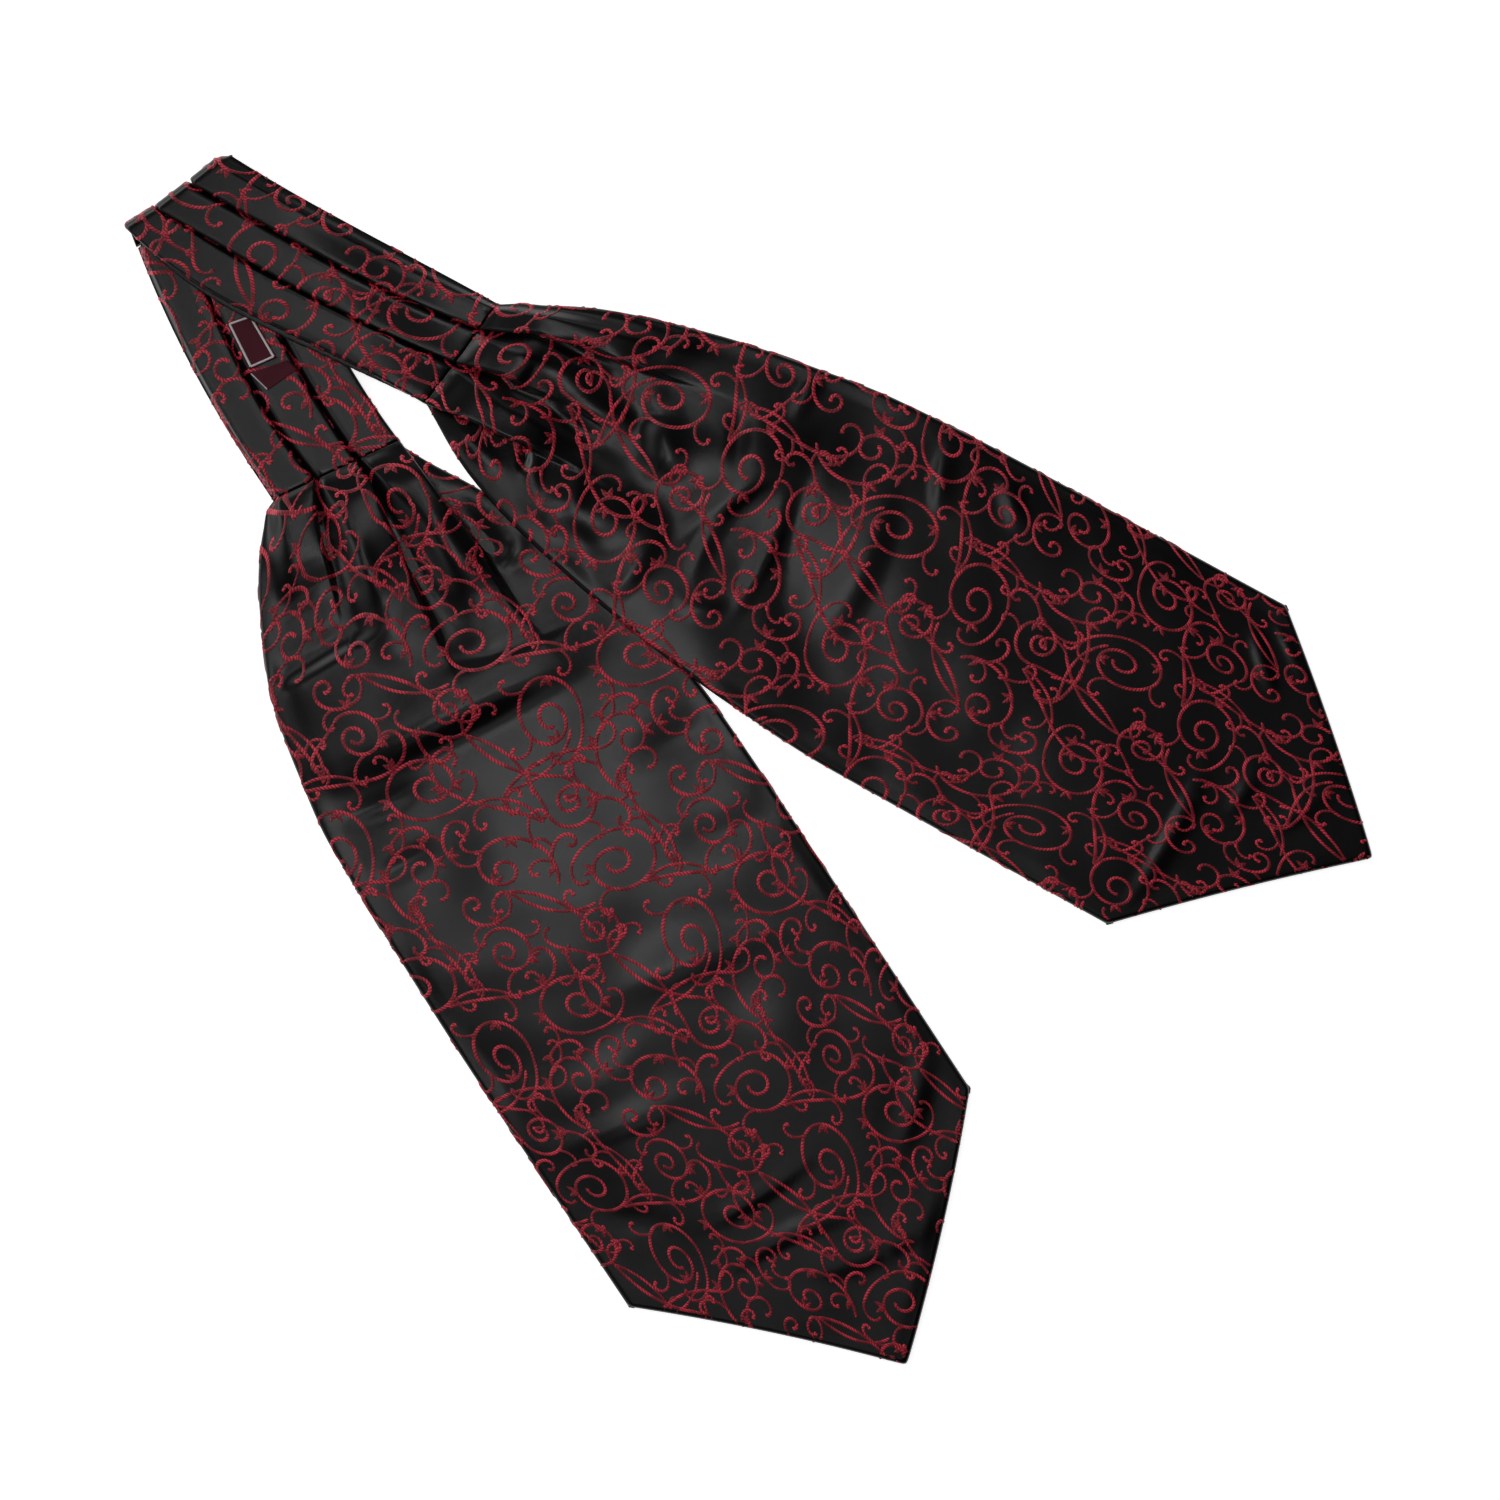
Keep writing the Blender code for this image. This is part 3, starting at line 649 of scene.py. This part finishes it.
def blade_back(blade):
    """The back ply of a blade, face down."""
    slope = slope_of(blade)
    corner = blade.corner - EDGE_INSET * slope
    rows = np.r_[np.arange(BACK_START, corner - 1, BACK_STEP), corner][:, None]
    first = np.array([[read(blade.edges, "first", row[0]) - EDGE_INSET] for row in rows])
    last = np.array([[EDGE_INSET - read(blade.edges, "last", row[0])] for row in rows])
    share = np.linspace(0, 1, BACK_COLUMNS + 1)[None]
    across = first + share * (last - first)
    inwards = 1 - np.abs(2 * share - 1)
    along, x, y = laid_out(blade, rows, across, inwards, corner, blade.point - EDGE_INSET / slope)
    up = BACK_HEIGHT + (lift_at(x, y) if blade is UPPER else 0 * x)
    return np.stack([x, y, up], axis=-1), along, across


def flat_across(across, points, widened=0):
    """How far across the flat cloth each point lies. What a pleat hides is drawn out or in, so that the
    pattern runs on straight from row to row. Widened is 0 in a row as narrow as the first and 1 in one
    as wide as the widest."""
    steps = np.linalg.norm(np.diff(points, axis=1), axis=2)
    reached = np.minimum.accumulate(across, axis=1)
    hidden = across[:, 1:] > reached[:, 1:] + TINY
    seen, tucked = np.where(hidden, 0, steps), np.where(hidden, steps, 0)
    widest = seen.sum(axis=1).max()
    narrow = seen[0].sum() + tucked[0].sum()
    spare = narrow + (widest - narrow) * widened - seen.sum(axis=1)
    stretch = np.clip(spare / np.maximum(tucked.sum(axis=1), TINY), 0.0, MOST_STRETCH)
    laid = np.cumsum(seen + tucked * stretch[:, None], axis=1)
    laid = np.c_[np.zeros(len(laid)), laid]
    return laid[:, -1:] / 2 - laid


def stretch_lines(blade, bows, turn_points):
    seam = [read(blade.edges, "first", 0)]
    seam += [read(blade.pleats, name, 0) for name in PLEATS]
    ends = [place(blade, lean_at(blade, 0, across), across) for across in seam]
    return [(turn, end, *bow) for turn, end, bow in zip(turn_points, ends, bows)]


def line_point(line, share):
    (ax, ay), (bx, by), bow, peak = line
    dx, dy = bx - ax, by - ay
    off = bow * hump(share, peak) / math.hypot(dx, dy)
    return ax + share * dx + off * dy, ay + share * dy - off * dx


def across_band(lines, share):
    plan = [line_point(line, share) for line in lines]
    gaps = [math.dist(a, b) for a, b in zip(plan, plan[1:])]
    return np.array(plan), np.array([sum(gaps[i:]) for i in range(len(plan))])


def band_plan(plan, marks, across):
    """Plan positions on the section at these distances from its last line, carried on past both ends."""
    i = np.clip(np.searchsorted(-marks, -across, side="right") - 1, 0, len(marks) - 2)
    share = (marks[i] - across) / (marks[i] - marks[i + 1])
    return plan[i] + share[:, None] * (plan[i + 1] - plan[i])


def stretch_shares(lines, start):
    """Rows of a stretch of band, as shares of its run, from this one to the seam."""
    length = math.dist(*lines[1][:2])
    return np.linspace(start, SEAM_SHARE, int(length * (SEAM_SHARE - start) / BAND_STEP) + 1), length


def band_row(blade, lines, share, to_seam, shown=0):
    """A row across a stretch of band: its lines' places, distances across, plan positions and heights."""
    plan, marks = across_band(lines, share)
    pleats = []
    for before, mark, name in zip(marks, marks[1:], PLEATS):
        tuck = min(blade.tuck[name], before - mark - TUCK_ROOM[name])
        pleats.append((mark, 180, PLEAT_RADIUS, tuck))
    across, up, _ = pleated_section(marks[0], -shown, pleats, FACE, BAND_ROLL)
    return plan, across, band_plan(plan, marks, across), pinch(up, to_seam, across)


def band_surface(points, along, acrosses):
    """A stretch of band as a grid of points, with its place on the flat cloth."""
    points, acrosses = np.array(points), np.array(acrosses)
    along = np.array(along)[:, None] + 0 * acrosses
    return points, along, flat_across(acrosses, points)


def band_lower(lines):
    shares, length = stretch_shares(lines, TAIL + TAIL_GAP)
    rows = [band_row(LOWER, lines, share, (1 - share) * length) for share in shares]
    points = [np.c_[spots, up] for _, _, spots, up in rows]
    return band_surface(points, (shares - 1) * length, [row[1] for row in rows])


def band_upper(lines, lower_lines):
    """From the seam to the turn, round it, and on to where the two stretches are joined."""
    shares, length = stretch_shares(lines, 0.0)
    points, acrosses, along = [], [], []
    for share in shares[::-1]:
        along.append((share - 1) * length)
        shown = SELVEDGE * hump(share, 0.5) if TAIL < share < 1 - TAIL else 0
        plan, across, spots, up = band_row(UPPER, lines, share, -along[-1], shown)
        up = up + lift_at(*spots.T)
        points.append(np.c_[spots, up])
        acrosses.append(across)
    outward = np.array([plan[-1][1] - plan[0][1], plan[0][0] - plan[-1][0]]) / math.dist(plan[0], plan[-1])
    middle = STACK + LAY_GAP / 2
    for angle in np.linspace(0, math.pi, WRAP_STEPS + 1)[1:]:
        lowered = (1 - math.cos(angle)) / 2
        heights = up - middle
        heights += lowered * (np.minimum(heights, middle - ON_TABLE) - heights)
        away = outward * (heights * math.sin(angle))[:, None]
        points.append(np.c_[spots + away, middle + heights * math.cos(angle)])
        acrosses.append(across)
        along.append(along[-1] - math.pi * middle / WRAP_STEPS)
    far, marks = across_band(lower_lines, TAIL)
    points.append(np.c_[band_plan(far[::-1], marks, across), middle - heights])
    acrosses.append(across)
    along.append(along[-1] - TAIL * length)
    return band_surface(points, along, acrosses)


def ribbon_face(corners):
    """The top of a ribbon between four corners, on the pleated band."""
    near_first, near_last, far_first, far_last = np.array(corners)
    s, t = np.meshgrid(*(np.linspace(0, 1, steps + 1) for steps in RIBBON_STEPS), indexing="ij")
    first = near_first + s[..., None] * (far_first - near_first)
    last = near_last + s[..., None] * (far_last - near_last)
    spots = first + t[..., None] * (last - first)
    high, lengthwise, sideways = RIBBON_WAVE
    up = STACK + RIBBON_LIFT + RIBBON_CURL * s**6 * (2 * t - 1) ** 2
    up += high * np.sin(lengthwise * s + sideways * t)
    along = s * np.linalg.norm(far_first - near_first)
    return np.dstack([spots, up]), along, -t * np.linalg.norm(near_last - near_first)


# ---------- meshes


def quads(rows, columns):
    """The faces of a grid as indices of its points."""
    i = np.arange(rows * columns).reshape(rows, columns)
    return np.stack([i[:-1, :-1], i[:-1, 1:], i[1:, 1:], i[1:, :-1]], axis=-1).reshape(-1, 4)


def point_normals(points, faces):
    flat = points.reshape(-1, 3)
    a, b, c, d = (flat[faces[:, k]] for k in range(4))
    facing = np.cross(c - a, d - b)
    normals = np.zeros_like(flat)
    for k in range(4):
        np.add.at(normals, faces[:, k], facing)
    return normals / np.maximum(np.linalg.norm(normals, axis=1, keepdims=True), TINY)


def new_piece(name, points, faces, uv, finish):
    """A smooth mesh piece in metres, which rides on the cravat's one body."""
    mesh = bpy.data.meshes.new(name)
    mesh.from_pydata((points.reshape(-1, 3) * MM).tolist(), [], faces.tolist())
    layer = mesh.uv_layers.new(name="Cloth")
    corners = np.empty(len(mesh.loops), dtype=np.int32)
    mesh.loops.foreach_get("vertex_index", corners)
    layer.data.foreach_set("uv", (uv.reshape(-1, 2)[corners] * MM).ravel())
    mesh.materials.append(finish)
    mesh.shade_smooth()
    piece = linked(name, mesh)
    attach(piece, "root")
    return piece


class Cloth:
    """A face of cloth: its points, its normals and where each point lies on the flat cloth."""

    def __init__(self, surface, face_down=False, bare_columns=0):
        self.points, along, across = surface
        self.bare_columns = bare_columns  # at its last edge, with no scrollwork
        self.flat = np.stack([along, across], axis=-1)
        self.faces = quads(*self.points.shape[:2])
        self.normals = point_normals(self.points, self.faces)
        if (self.normals[:, 2].sum() < 0) != face_down:
            self.faces, self.normals = self.faces[:, ::-1], -self.normals

    def shell(self, name, finish, slot, thickness=SHELL):
        piece = new_piece(name, self.points, self.faces, self.flat, finish)
        wall = piece.modifiers.new("Shell", "SOLIDIFY")
        wall.thickness = thickness * MM
        wall.offset = -1
        return piece

    def area(self):
        """Area of the face in square metres."""
        a, b, c, d = (self.points.reshape(-1, 3)[self.faces[:, k]] for k in range(4))
        return 0.5 * np.linalg.norm(np.cross(c - a, d - b), axis=1).sum() * MM * MM

    def cut(self):
        """Width and length of the cloth laid flat: its longest row and its longest column, in metres."""
        rows = np.linalg.norm(np.diff(self.points, axis=1), axis=2).sum(axis=1)
        columns = np.linalg.norm(np.diff(self.points, axis=0), axis=2).sum(axis=0)
        return tuple(max(float(run.max()) * MM, SMALLEST_CUT) for run in (rows, columns))


# ---------- scrollwork


def stroke(x, y, heading, length, first, second, curl, oval=0.0):
    """A curve that starts here and turns as it goes: its points, and its heading at each."""
    count = max(int(length / DRAW_STEP), 6)
    t = (np.arange(count) + 0.5) / count
    turns = np.radians(2 * first * (1 - t) + 2 * second * t + 5 * curl * t**4) / count
    begins = math.radians(heading)
    headings = [begins]
    for turn in turns:
        headings.append(headings[-1] + turn * (1 + oval * math.cos(2 * (headings[-1] - begins))))
    headings = np.array(headings)
    middles, step = (headings[1:] + headings[:-1]) / 2, length / count
    xs = x + np.r_[0, np.cumsum(step * np.cos(middles))]
    ys = y + np.r_[0, np.cumsum(step * np.sin(middles))]
    return np.c_[xs, ys], headings


def run_along(points):
    return np.r_[0, np.cumsum(np.linalg.norm(np.diff(points, axis=0), axis=1))]


def line_widths(points, broad, drop):
    """Half the width of a line along it: even, with a drop at its end or a taper."""
    run = run_along(points)
    left = run[-1] - run
    width = broad / 2 * smooth((run + BEGINS[0]) / BEGINS[1])
    if not drop:
        return width * smooth((left + ENDS[0]) / ENDS[1])
    bulb = np.sqrt(np.clip(BULB**2 - (left - BULB) ** 2, 0, None))
    return np.where(left < BULB, bulb, np.maximum(width, bulb))


def leaf(x, y, heading):
    length, width = DROP
    t = np.linspace(0, 1, int(length / DRAW_STEP) + 1)
    points = np.c_[x + length * t * math.cos(heading), y + length * t * math.sin(heading)]
    return points, width / 2 * np.sin(math.pi * np.clip(t, *LEAF_ENDS) ** LEAF_SKEW)


def one_repeat():
    """The strokes of one repeat: each with its points and half its width at each of them."""
    strokes = []
    for name, x, y, heading, hand in PLACES:
        (length, first, second, curl, oval), arms, leaves = BOUGHS[name]
        main, headings = stroke(0, 0, heading, length, hand * first, hand * second, hand * curl, oval)
        main = main - (main.min(axis=0) + main.max(axis=0)) / 2 + (x, y)
        strokes.append((main, line_widths(main, LINE, curl != 0)))
        for share, angle, length, first, second, curl in arms:
            i = int(share * (len(main) - 1))
            turned = math.degrees(headings[i]) + hand * angle
            arm, _ = stroke(*main[i], turned, length, hand * first, hand * second, hand * curl)
            strokes.append((arm, line_widths(arm, ARM, curl != 0)))
        for share, angle in leaves:
            i = int(share * (len(main) - 1))
            for spread in (-LEAF_SPREAD, LEAF_SPREAD):
                strokes.append(leaf(*main[i], headings[i] + math.radians(angle + spread)))
    return strokes


def ribbons_on_flat(flat, strokes):
    """Strokes as rows of three points, left, middle and right, on the flat cloth: the points, the same
    along and across the line itself, and the number of each row's line."""
    low, high = flat.min(axis=0), flat.max(axis=0)
    spots, threads, numbers = [], [], []
    for at, widths in strokes:
        if (at.max(axis=0) < low).any() or (at.min(axis=0) > high).any():
            continue
        ahead = np.gradient(at, axis=0)
        ahead /= np.linalg.norm(ahead, axis=1, keepdims=True)
        left = np.c_[-ahead[:, 1], ahead[:, 0]] * widths[:, None]
        spots.append(np.stack([at + left, at, at - left], axis=1))
        threads.append(np.stack([np.c_[run_along(at), side * widths] for side in (1, 0, -1)], axis=1))
        numbers.append(np.full(len(at), len(numbers)))
    return np.concatenate(spots), np.concatenate(threads), np.concatenate(numbers)


def carried(cloth, at):
    """These places on the flat cloth, carried on to the laid one: points, normals, and whether they land."""
    flat = cloth.flat.reshape(-1, 2)
    corners = np.concatenate([cloth.faces[:, :3], cloth.faces[:, [0, 2, 3]]])
    tree = BVHTree.FromPolygons(np.c_[flat, np.zeros(len(flat))].tolist(), corners.tolist())
    found = [tree.ray_cast((u, v, 1.0), (0, 0, -1))[2] for u, v in at]
    lands = np.array([face is not None for face in found])
    corner = corners[np.array([face or 0 for face in found])]
    a, b, c = (flat[corner[:, k]] for k in range(3))
    area = np.cross(b - a, c - a)
    area = np.where(np.abs(area) < TINY, TINY, area)
    a, b, c = a - at, b - at, c - at
    weight = np.stack([np.cross(b, c), np.cross(c, a), np.cross(a, b)], axis=1)
    weight = (weight / area[:, None])[..., None]
    points = (cloth.points.reshape(-1, 3)[corner] * weight).sum(axis=1)
    facing = (cloth.normals[corner] * weight).sum(axis=1)
    facing /= np.maximum(np.linalg.norm(facing, axis=1, keepdims=True), TINY)
    if cloth.bare_columns:
        columns = cloth.points.shape[1]
        lands &= (corner % columns < columns - cloth.bare_columns).all(axis=1)
    return points, facing, lands


def lay_strokes(name, cloth, strokes, finish):
    """A piece of low ribbons along strokes that are drawn on the flat cloth."""
    spots, threads, number = ribbons_on_flat(cloth.flat.reshape(-1, 2), strokes)
    landed, facing, lands = carried(cloth, spots.reshape(-1, 2))
    ok = lands.reshape(-1, 3).all(axis=1)
    raised = PROUD + CROSS_OVER * (number % CROSSINGS)[:, None]
    landed = landed.reshape(-1, 3, 3) + facing.reshape(-1, 3, 3) * raised[..., None]
    joined = np.flatnonzero(ok[:-1] & ok[1:] & (number[:-1] == number[1:]))
    faces = np.concatenate([3 * joined[:, None] + half + [0, 1, 4, 3] for half in (0, 1)])
    used, faces = np.unique(faces, return_inverse=True)
    points, faces, uv = landed.reshape(-1, 3)[used], faces.reshape(-1, 4), threads.reshape(-1, 2)[used]
    a, b, c = (points[faces[:, k]] for k in range(3))
    if (np.cross(b - a, c - a) * facing[used][faces[:, 0]]).sum() < 0:
        faces = faces[:, ::-1]
    return new_piece(name, points, faces, uv, finish)


def scrollwork(cloth, grain):
    """The pattern's strokes over the whole of a flat cloth."""
    flat = grain * cloth.flat.reshape(-1, 2)
    from_i, from_j = np.floor(flat.min(axis=0) / REPEAT).astype(int) - 1
    to_i, to_j = np.ceil(flat.max(axis=0) / REPEAT).astype(int) + 1
    repeat = one_repeat()
    places = [np.array([i, j]) * REPEAT for i in range(from_i, to_i) for j in range(from_j, to_j)]
    return [(grain * (points + at), widths) for at in places for points, widths in repeat]


def stitch_row(line):
    """Short stitches along a line on the flat cloth."""
    run = run_along(line)
    widths = STITCH_WIDTH / 2 * np.sin(math.pi * np.linspace(*STITCH_ENDS, STITCH_POINTS))
    strokes = []
    for start in np.arange(STITCH_INSET, run[-1] - STITCH_INSET - STITCH, STITCH + STITCH_GAP):
        along = start + np.linspace(0, STITCH, STITCH_POINTS)
        strokes.append((np.stack([np.interp(along, run, line[:, k]) for k in (0, 1)], axis=1), widths))
    return strokes


def border(face, inset, width, sides):
    """A line along these sides of a ribbon, this far in from its edges."""
    flat = face.flat.reshape(-1, 2)
    (x0, y0), (x1, y1) = flat.min(axis=0) + inset, flat.max(axis=0) - inset
    corners = ((x0, y0), (x1, y0), (x1, y1), (x0, y1))
    strokes = []
    for side in sides:
        (ax, ay), (bx, by) = corners[side], corners[(side + 1) % 4]
        t = np.linspace(0, 1, int(math.dist((ax, ay), (bx, by)) / DRAW_STEP) + 2)
        strokes.append((np.c_[ax + t * (bx - ax), ay + t * (by - ay)], np.full(len(t), width / 2)))
    return strokes


# ---------- materials


def set_sockets(tree, node, values):
    """Set each of these inputs of a node, or link it where its value is another node's output."""
    for name, value in values.items():
        if isinstance(value, bpy.types.NodeSocket):
            tree.links.new(value, node.inputs[name])
        else:
            node.inputs[name].default_value = value


def add_node(tree, kind, values, **settings):
    node = tree.nodes.new("ShaderNode" + kind)
    for name, setting in settings.items():
        setattr(node, name, setting)
    set_sockets(tree, node, values)
    return node.outputs


def new_material(name):
    made = bpy.data.materials.new(name)
    made.use_nodes = True
    return made, made.node_tree


def finished(made, values):
    """The material, with these values on its shader's own sockets."""
    set_sockets(made.node_tree, made.node_tree.nodes["Principled BSDF"], values)
    return made


def on_flat_cloth(tree):
    return add_node(tree, "UVMap", {}, uv_map="Cloth")["UV"]


def bands(tree, at, apart, distortion, way, detail=2.0):
    """Ribs of a weave, this far apart in metres."""
    values = {"Vector": at, "Scale": BAND_SCALE / apart, "Distortion": distortion, "Detail": detail}
    return add_node(tree, "TexWave", values, bands_direction=way)["Fac"]


def mixed(tree, share, dark, light):
    values = {"Factor": share, "A": (*dark, 1), "B": (*light, 1)}
    return add_node(tree, "Mix", values, data_type="RGBA")["Result"]


def bump(tree, height, strength, distance):
    values = {"Height": height, "Strength": strength, "Distance": distance}
    return add_node(tree, "Bump", values)["Normal"]


def mapped(tree, value, spans, **settings):
    """The value, moved from the first two of these numbers to the last two."""
    values = dict(zip(("From Min", "From Max", "To Min", "To Max"), spans))
    return add_node(tree, "MapRange", {"Value": value, **values}, **settings)["Result"]


def product(tree, first, second):
    return add_node(tree, "Math", {0: first, 1: second}, operation="MULTIPLY")["Value"]


def satin_material():
    made, tree = new_material("Black satin")
    at = on_flat_cloth(tree)
    shade = add_node(tree, "TexNoise", {"Vector": at, "Scale": 30.0, "Detail": 3.0})["Fac"]
    weave = bands(tree, at, apart=0.0003, distortion=2.0, way="Y", detail=1.0)
    values = {
        "Base Color": mixed(tree, shade, (0.002, 0.002, 0.002), (0.004, 0.004, 0.004)),
        "Normal": bump(tree, weave, strength=0.12, distance=0.00003),
        "Tangent": add_node(tree, "Tangent", {}, direction_type="UV_MAP", uv_map="Cloth")["Tangent"],
        "Roughness": 0.25,
        "Anisotropic": 0.3,
        "Anisotropic Rotation": 0.25,
        "Specular IOR Level": 0.5,
    }
    return finished(made, values)


def thread_material():
    """Twisted red yarn. Its base colour holds painted light and shade: painted highlights in patches here and
    there along it, and painted shade between its twisted ribs.
    """
    made, tree = new_material("Red scroll thread")
    at = on_flat_cloth(tree)
    twist = add_node(tree, "Mapping", {"Vector": at, "Rotation": (0, 0, math.radians(YARN_TWIST))})["Vector"]
    ribs = bands(tree, twist, apart=0.0012, distortion=1.0, way="X")
    gloss = add_node(tree, "TexNoise", {"Vector": at, "Scale": 100.0, "Detail": 1.0})["Fac"]
    # painted highlights in patches along the thread, times painted shade between the twisted ribs
    painted_highlights_and_shade = product(tree, ribs, mapped(tree, gloss, (0.44, 0.64, 0.25, 1.80)))
    values = {
        # the base colour runs from painted shade (dark red) to painted highlight (bright red)
        "Base Color": mixed(tree, painted_highlights_and_shade, (0.150, 0.006, 0.013), (1.000, 0.052, 0.096)),
        "Normal": bump(tree, ribs, strength=0.6, distance=0.00012),
        "Roughness": 0.30,
        "Specular IOR Level": 0.5,
    }
    return finished(made, values)


def yarn_material(name, colour):
    made, tree = new_material(name)
    fuzz = add_node(tree, "TexNoise", {"Scale": 3000.0})["Fac"]
    normal = bump(tree, fuzz, strength=0.5, distance=0.0001)
    return finished(made, {"Base Color": (*colour, 1), "Normal": normal, "Roughness": 0.6})


def ribbon_material():
    made, tree = new_material("Maroon ribbon")
    weave = bands(tree, on_flat_cloth(tree), apart=0.00045, distortion=1.5, way="X")
    values = {
        "Base Color": mixed(tree, weave, (0.060, 0.006, 0.014), (0.100, 0.011, 0.024)),
        "Normal": bump(tree, weave, strength=0.35, distance=0.00006),
        "Roughness": 0.7,
        "Specular IOR Level": 0.25,
    }
    return finished(made, values)


# ---------- scene


def linked(name, data):
    thing = bpy.data.objects.new(name, data)
    bpy.context.scene.collection.objects.link(thing)
    return thing


def add_camera():
    data = bpy.data.cameras.new("Camera")
    data.lens, data.sensor_width = LENS, SENSOR
    camera = linked("Camera", data)
    camera.location = CAMERA_AT
    bpy.context.scene.camera = camera


def add_floor():
    """White, with a little light of its own, so that it stays white where the tent is dim."""
    values = {
        "Base Color": (0.9, 0.9, 0.9, 1),
        "Roughness": 0.9,
        "Specular IOR Level": 0.1,
        "Emission Color": (1, 1, 1, 1),
        "Emission Strength": 0.78,
    }
    bpy.ops.mesh.primitive_plane_add(size=FLOOR_SIZE, location=(0, 0, FLOOR_TOP))
    floor = bpy.context.object
    floor.name = "Floor"
    floor.data.materials.append(finished(new_material("White table")[0], values))


def add_area_light(name, x, y, width, length, watts):
    """A lamp that flat cloth mirrors as a broad sheen half as far out. Nothing mirrors the fill lamp."""
    light = bpy.data.lights.new(name, "AREA")
    light.shape = "RECTANGLE"
    light.size, light.size_y = width, length
    light.energy = watts
    lamp = linked(name, light)
    lamp.visible_glossy = name != "Fill"
    way = Vector((x / 2, y / 2, 0)) - Vector((x, y, LAMP_HEIGHT))
    turned = way.to_track_quat("-Z", "Y").to_matrix().to_4x4()
    lamp.matrix_world = Matrix.Translation((x, y, LAMP_HEIGHT)) @ turned


def add_tent():
    """A white tent of light, open above the camera."""
    world = bpy.data.worlds.new("Studio")
    bpy.context.scene.world = world
    world.use_nodes = True
    tree = world.node_tree
    way = add_node(tree, "TexCoord", {})["Generated"]
    axes = add_node(tree, "SeparateXYZ", {"Vector": way})
    strength = 1.0
    for axis, fade in TENT:
        wall = mapped(tree, axes[axis], fade, interpolation_type="SMOOTHSTEP")
        strength = product(tree, strength, wall)
    set_sockets(tree, tree.nodes["Background"], {"Color": (1, 1, 1, 1), "Strength": strength})


def add_cloth():
    """The shell of each piece of satin, with its scrollwork and stitches."""
    satin, thread = satin_material(), thread_material()
    upper_lines = stretch_lines(UPPER, UPPER_BOW, TURN)
    lower_lines = stretch_lines(LOWER, LOWER_BOW, TURN[::-1])
    selvedge = LAST_STEPS + 2 * ROLL_STEPS - 1
    cloths = {
        "neckband_lower": (Cloth(band_lower(lower_lines)), LOWER.grain),
        "neckband_upper": (Cloth(band_upper(upper_lines, lower_lines), bare_columns=selvedge), UPPER.grain),
    }
    for blade in (LOWER, UPPER):
        cloths[f"blade_{blade.name}_front"] = (Cloth(blade_front(blade)), blade.grain)
        cloths[f"blade_{blade.name}_back"] = (Cloth(blade_back(blade), face_down=True), blade.grain)
    for name, (cloth, grain) in cloths.items():
        piece = cloth.shell(f"{name}_cloth", satin, "satin")
        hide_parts(name)
        sewn_on = [lay_strokes(f"{name}_scrolls", cloth, scrollwork(cloth, grain), thread)]
        if cloth.bare_columns:
            cloth.bare_columns = 0
            line = cloth.flat[: cloth.flat.shape[0] // 2, -SELVEDGE_STITCHES]
            yarn = yarn_material("Black yarn", (0.012, 0.012, 0.013))
            sewn_on.append(lay_strokes(f"{name}_stitches", cloth, stitch_row(line), yarn))
        cloth.cut()
        cloth.area()


def add_ribbons():
    """The bare label and care tag, which are sewn on the lower stretch of the band."""
    ribbon, yarn = ribbon_material(), yarn_material("White yarn", (0.80, 0.74, 0.74))
    for name, corners, inset, width, sides in RIBBONS:
        face = Cloth(ribbon_face(corners))
        piece = face.shell(f"{name}_ribbon", ribbon, "ribbon", RIBBON_SHELL)
        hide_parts(name)
        white = lay_strokes(f"{name}_yarn", face, border(face, inset, width, sides), yarn)


def main():
    add_camera()
    add_cloth()
    add_ribbons()
    add_floor()
    add_tent()
    for lamp in LAMPS:
        add_area_light(*lamp)
    bpy.context.scene.view_settings.view_transform = "Standard"


main()
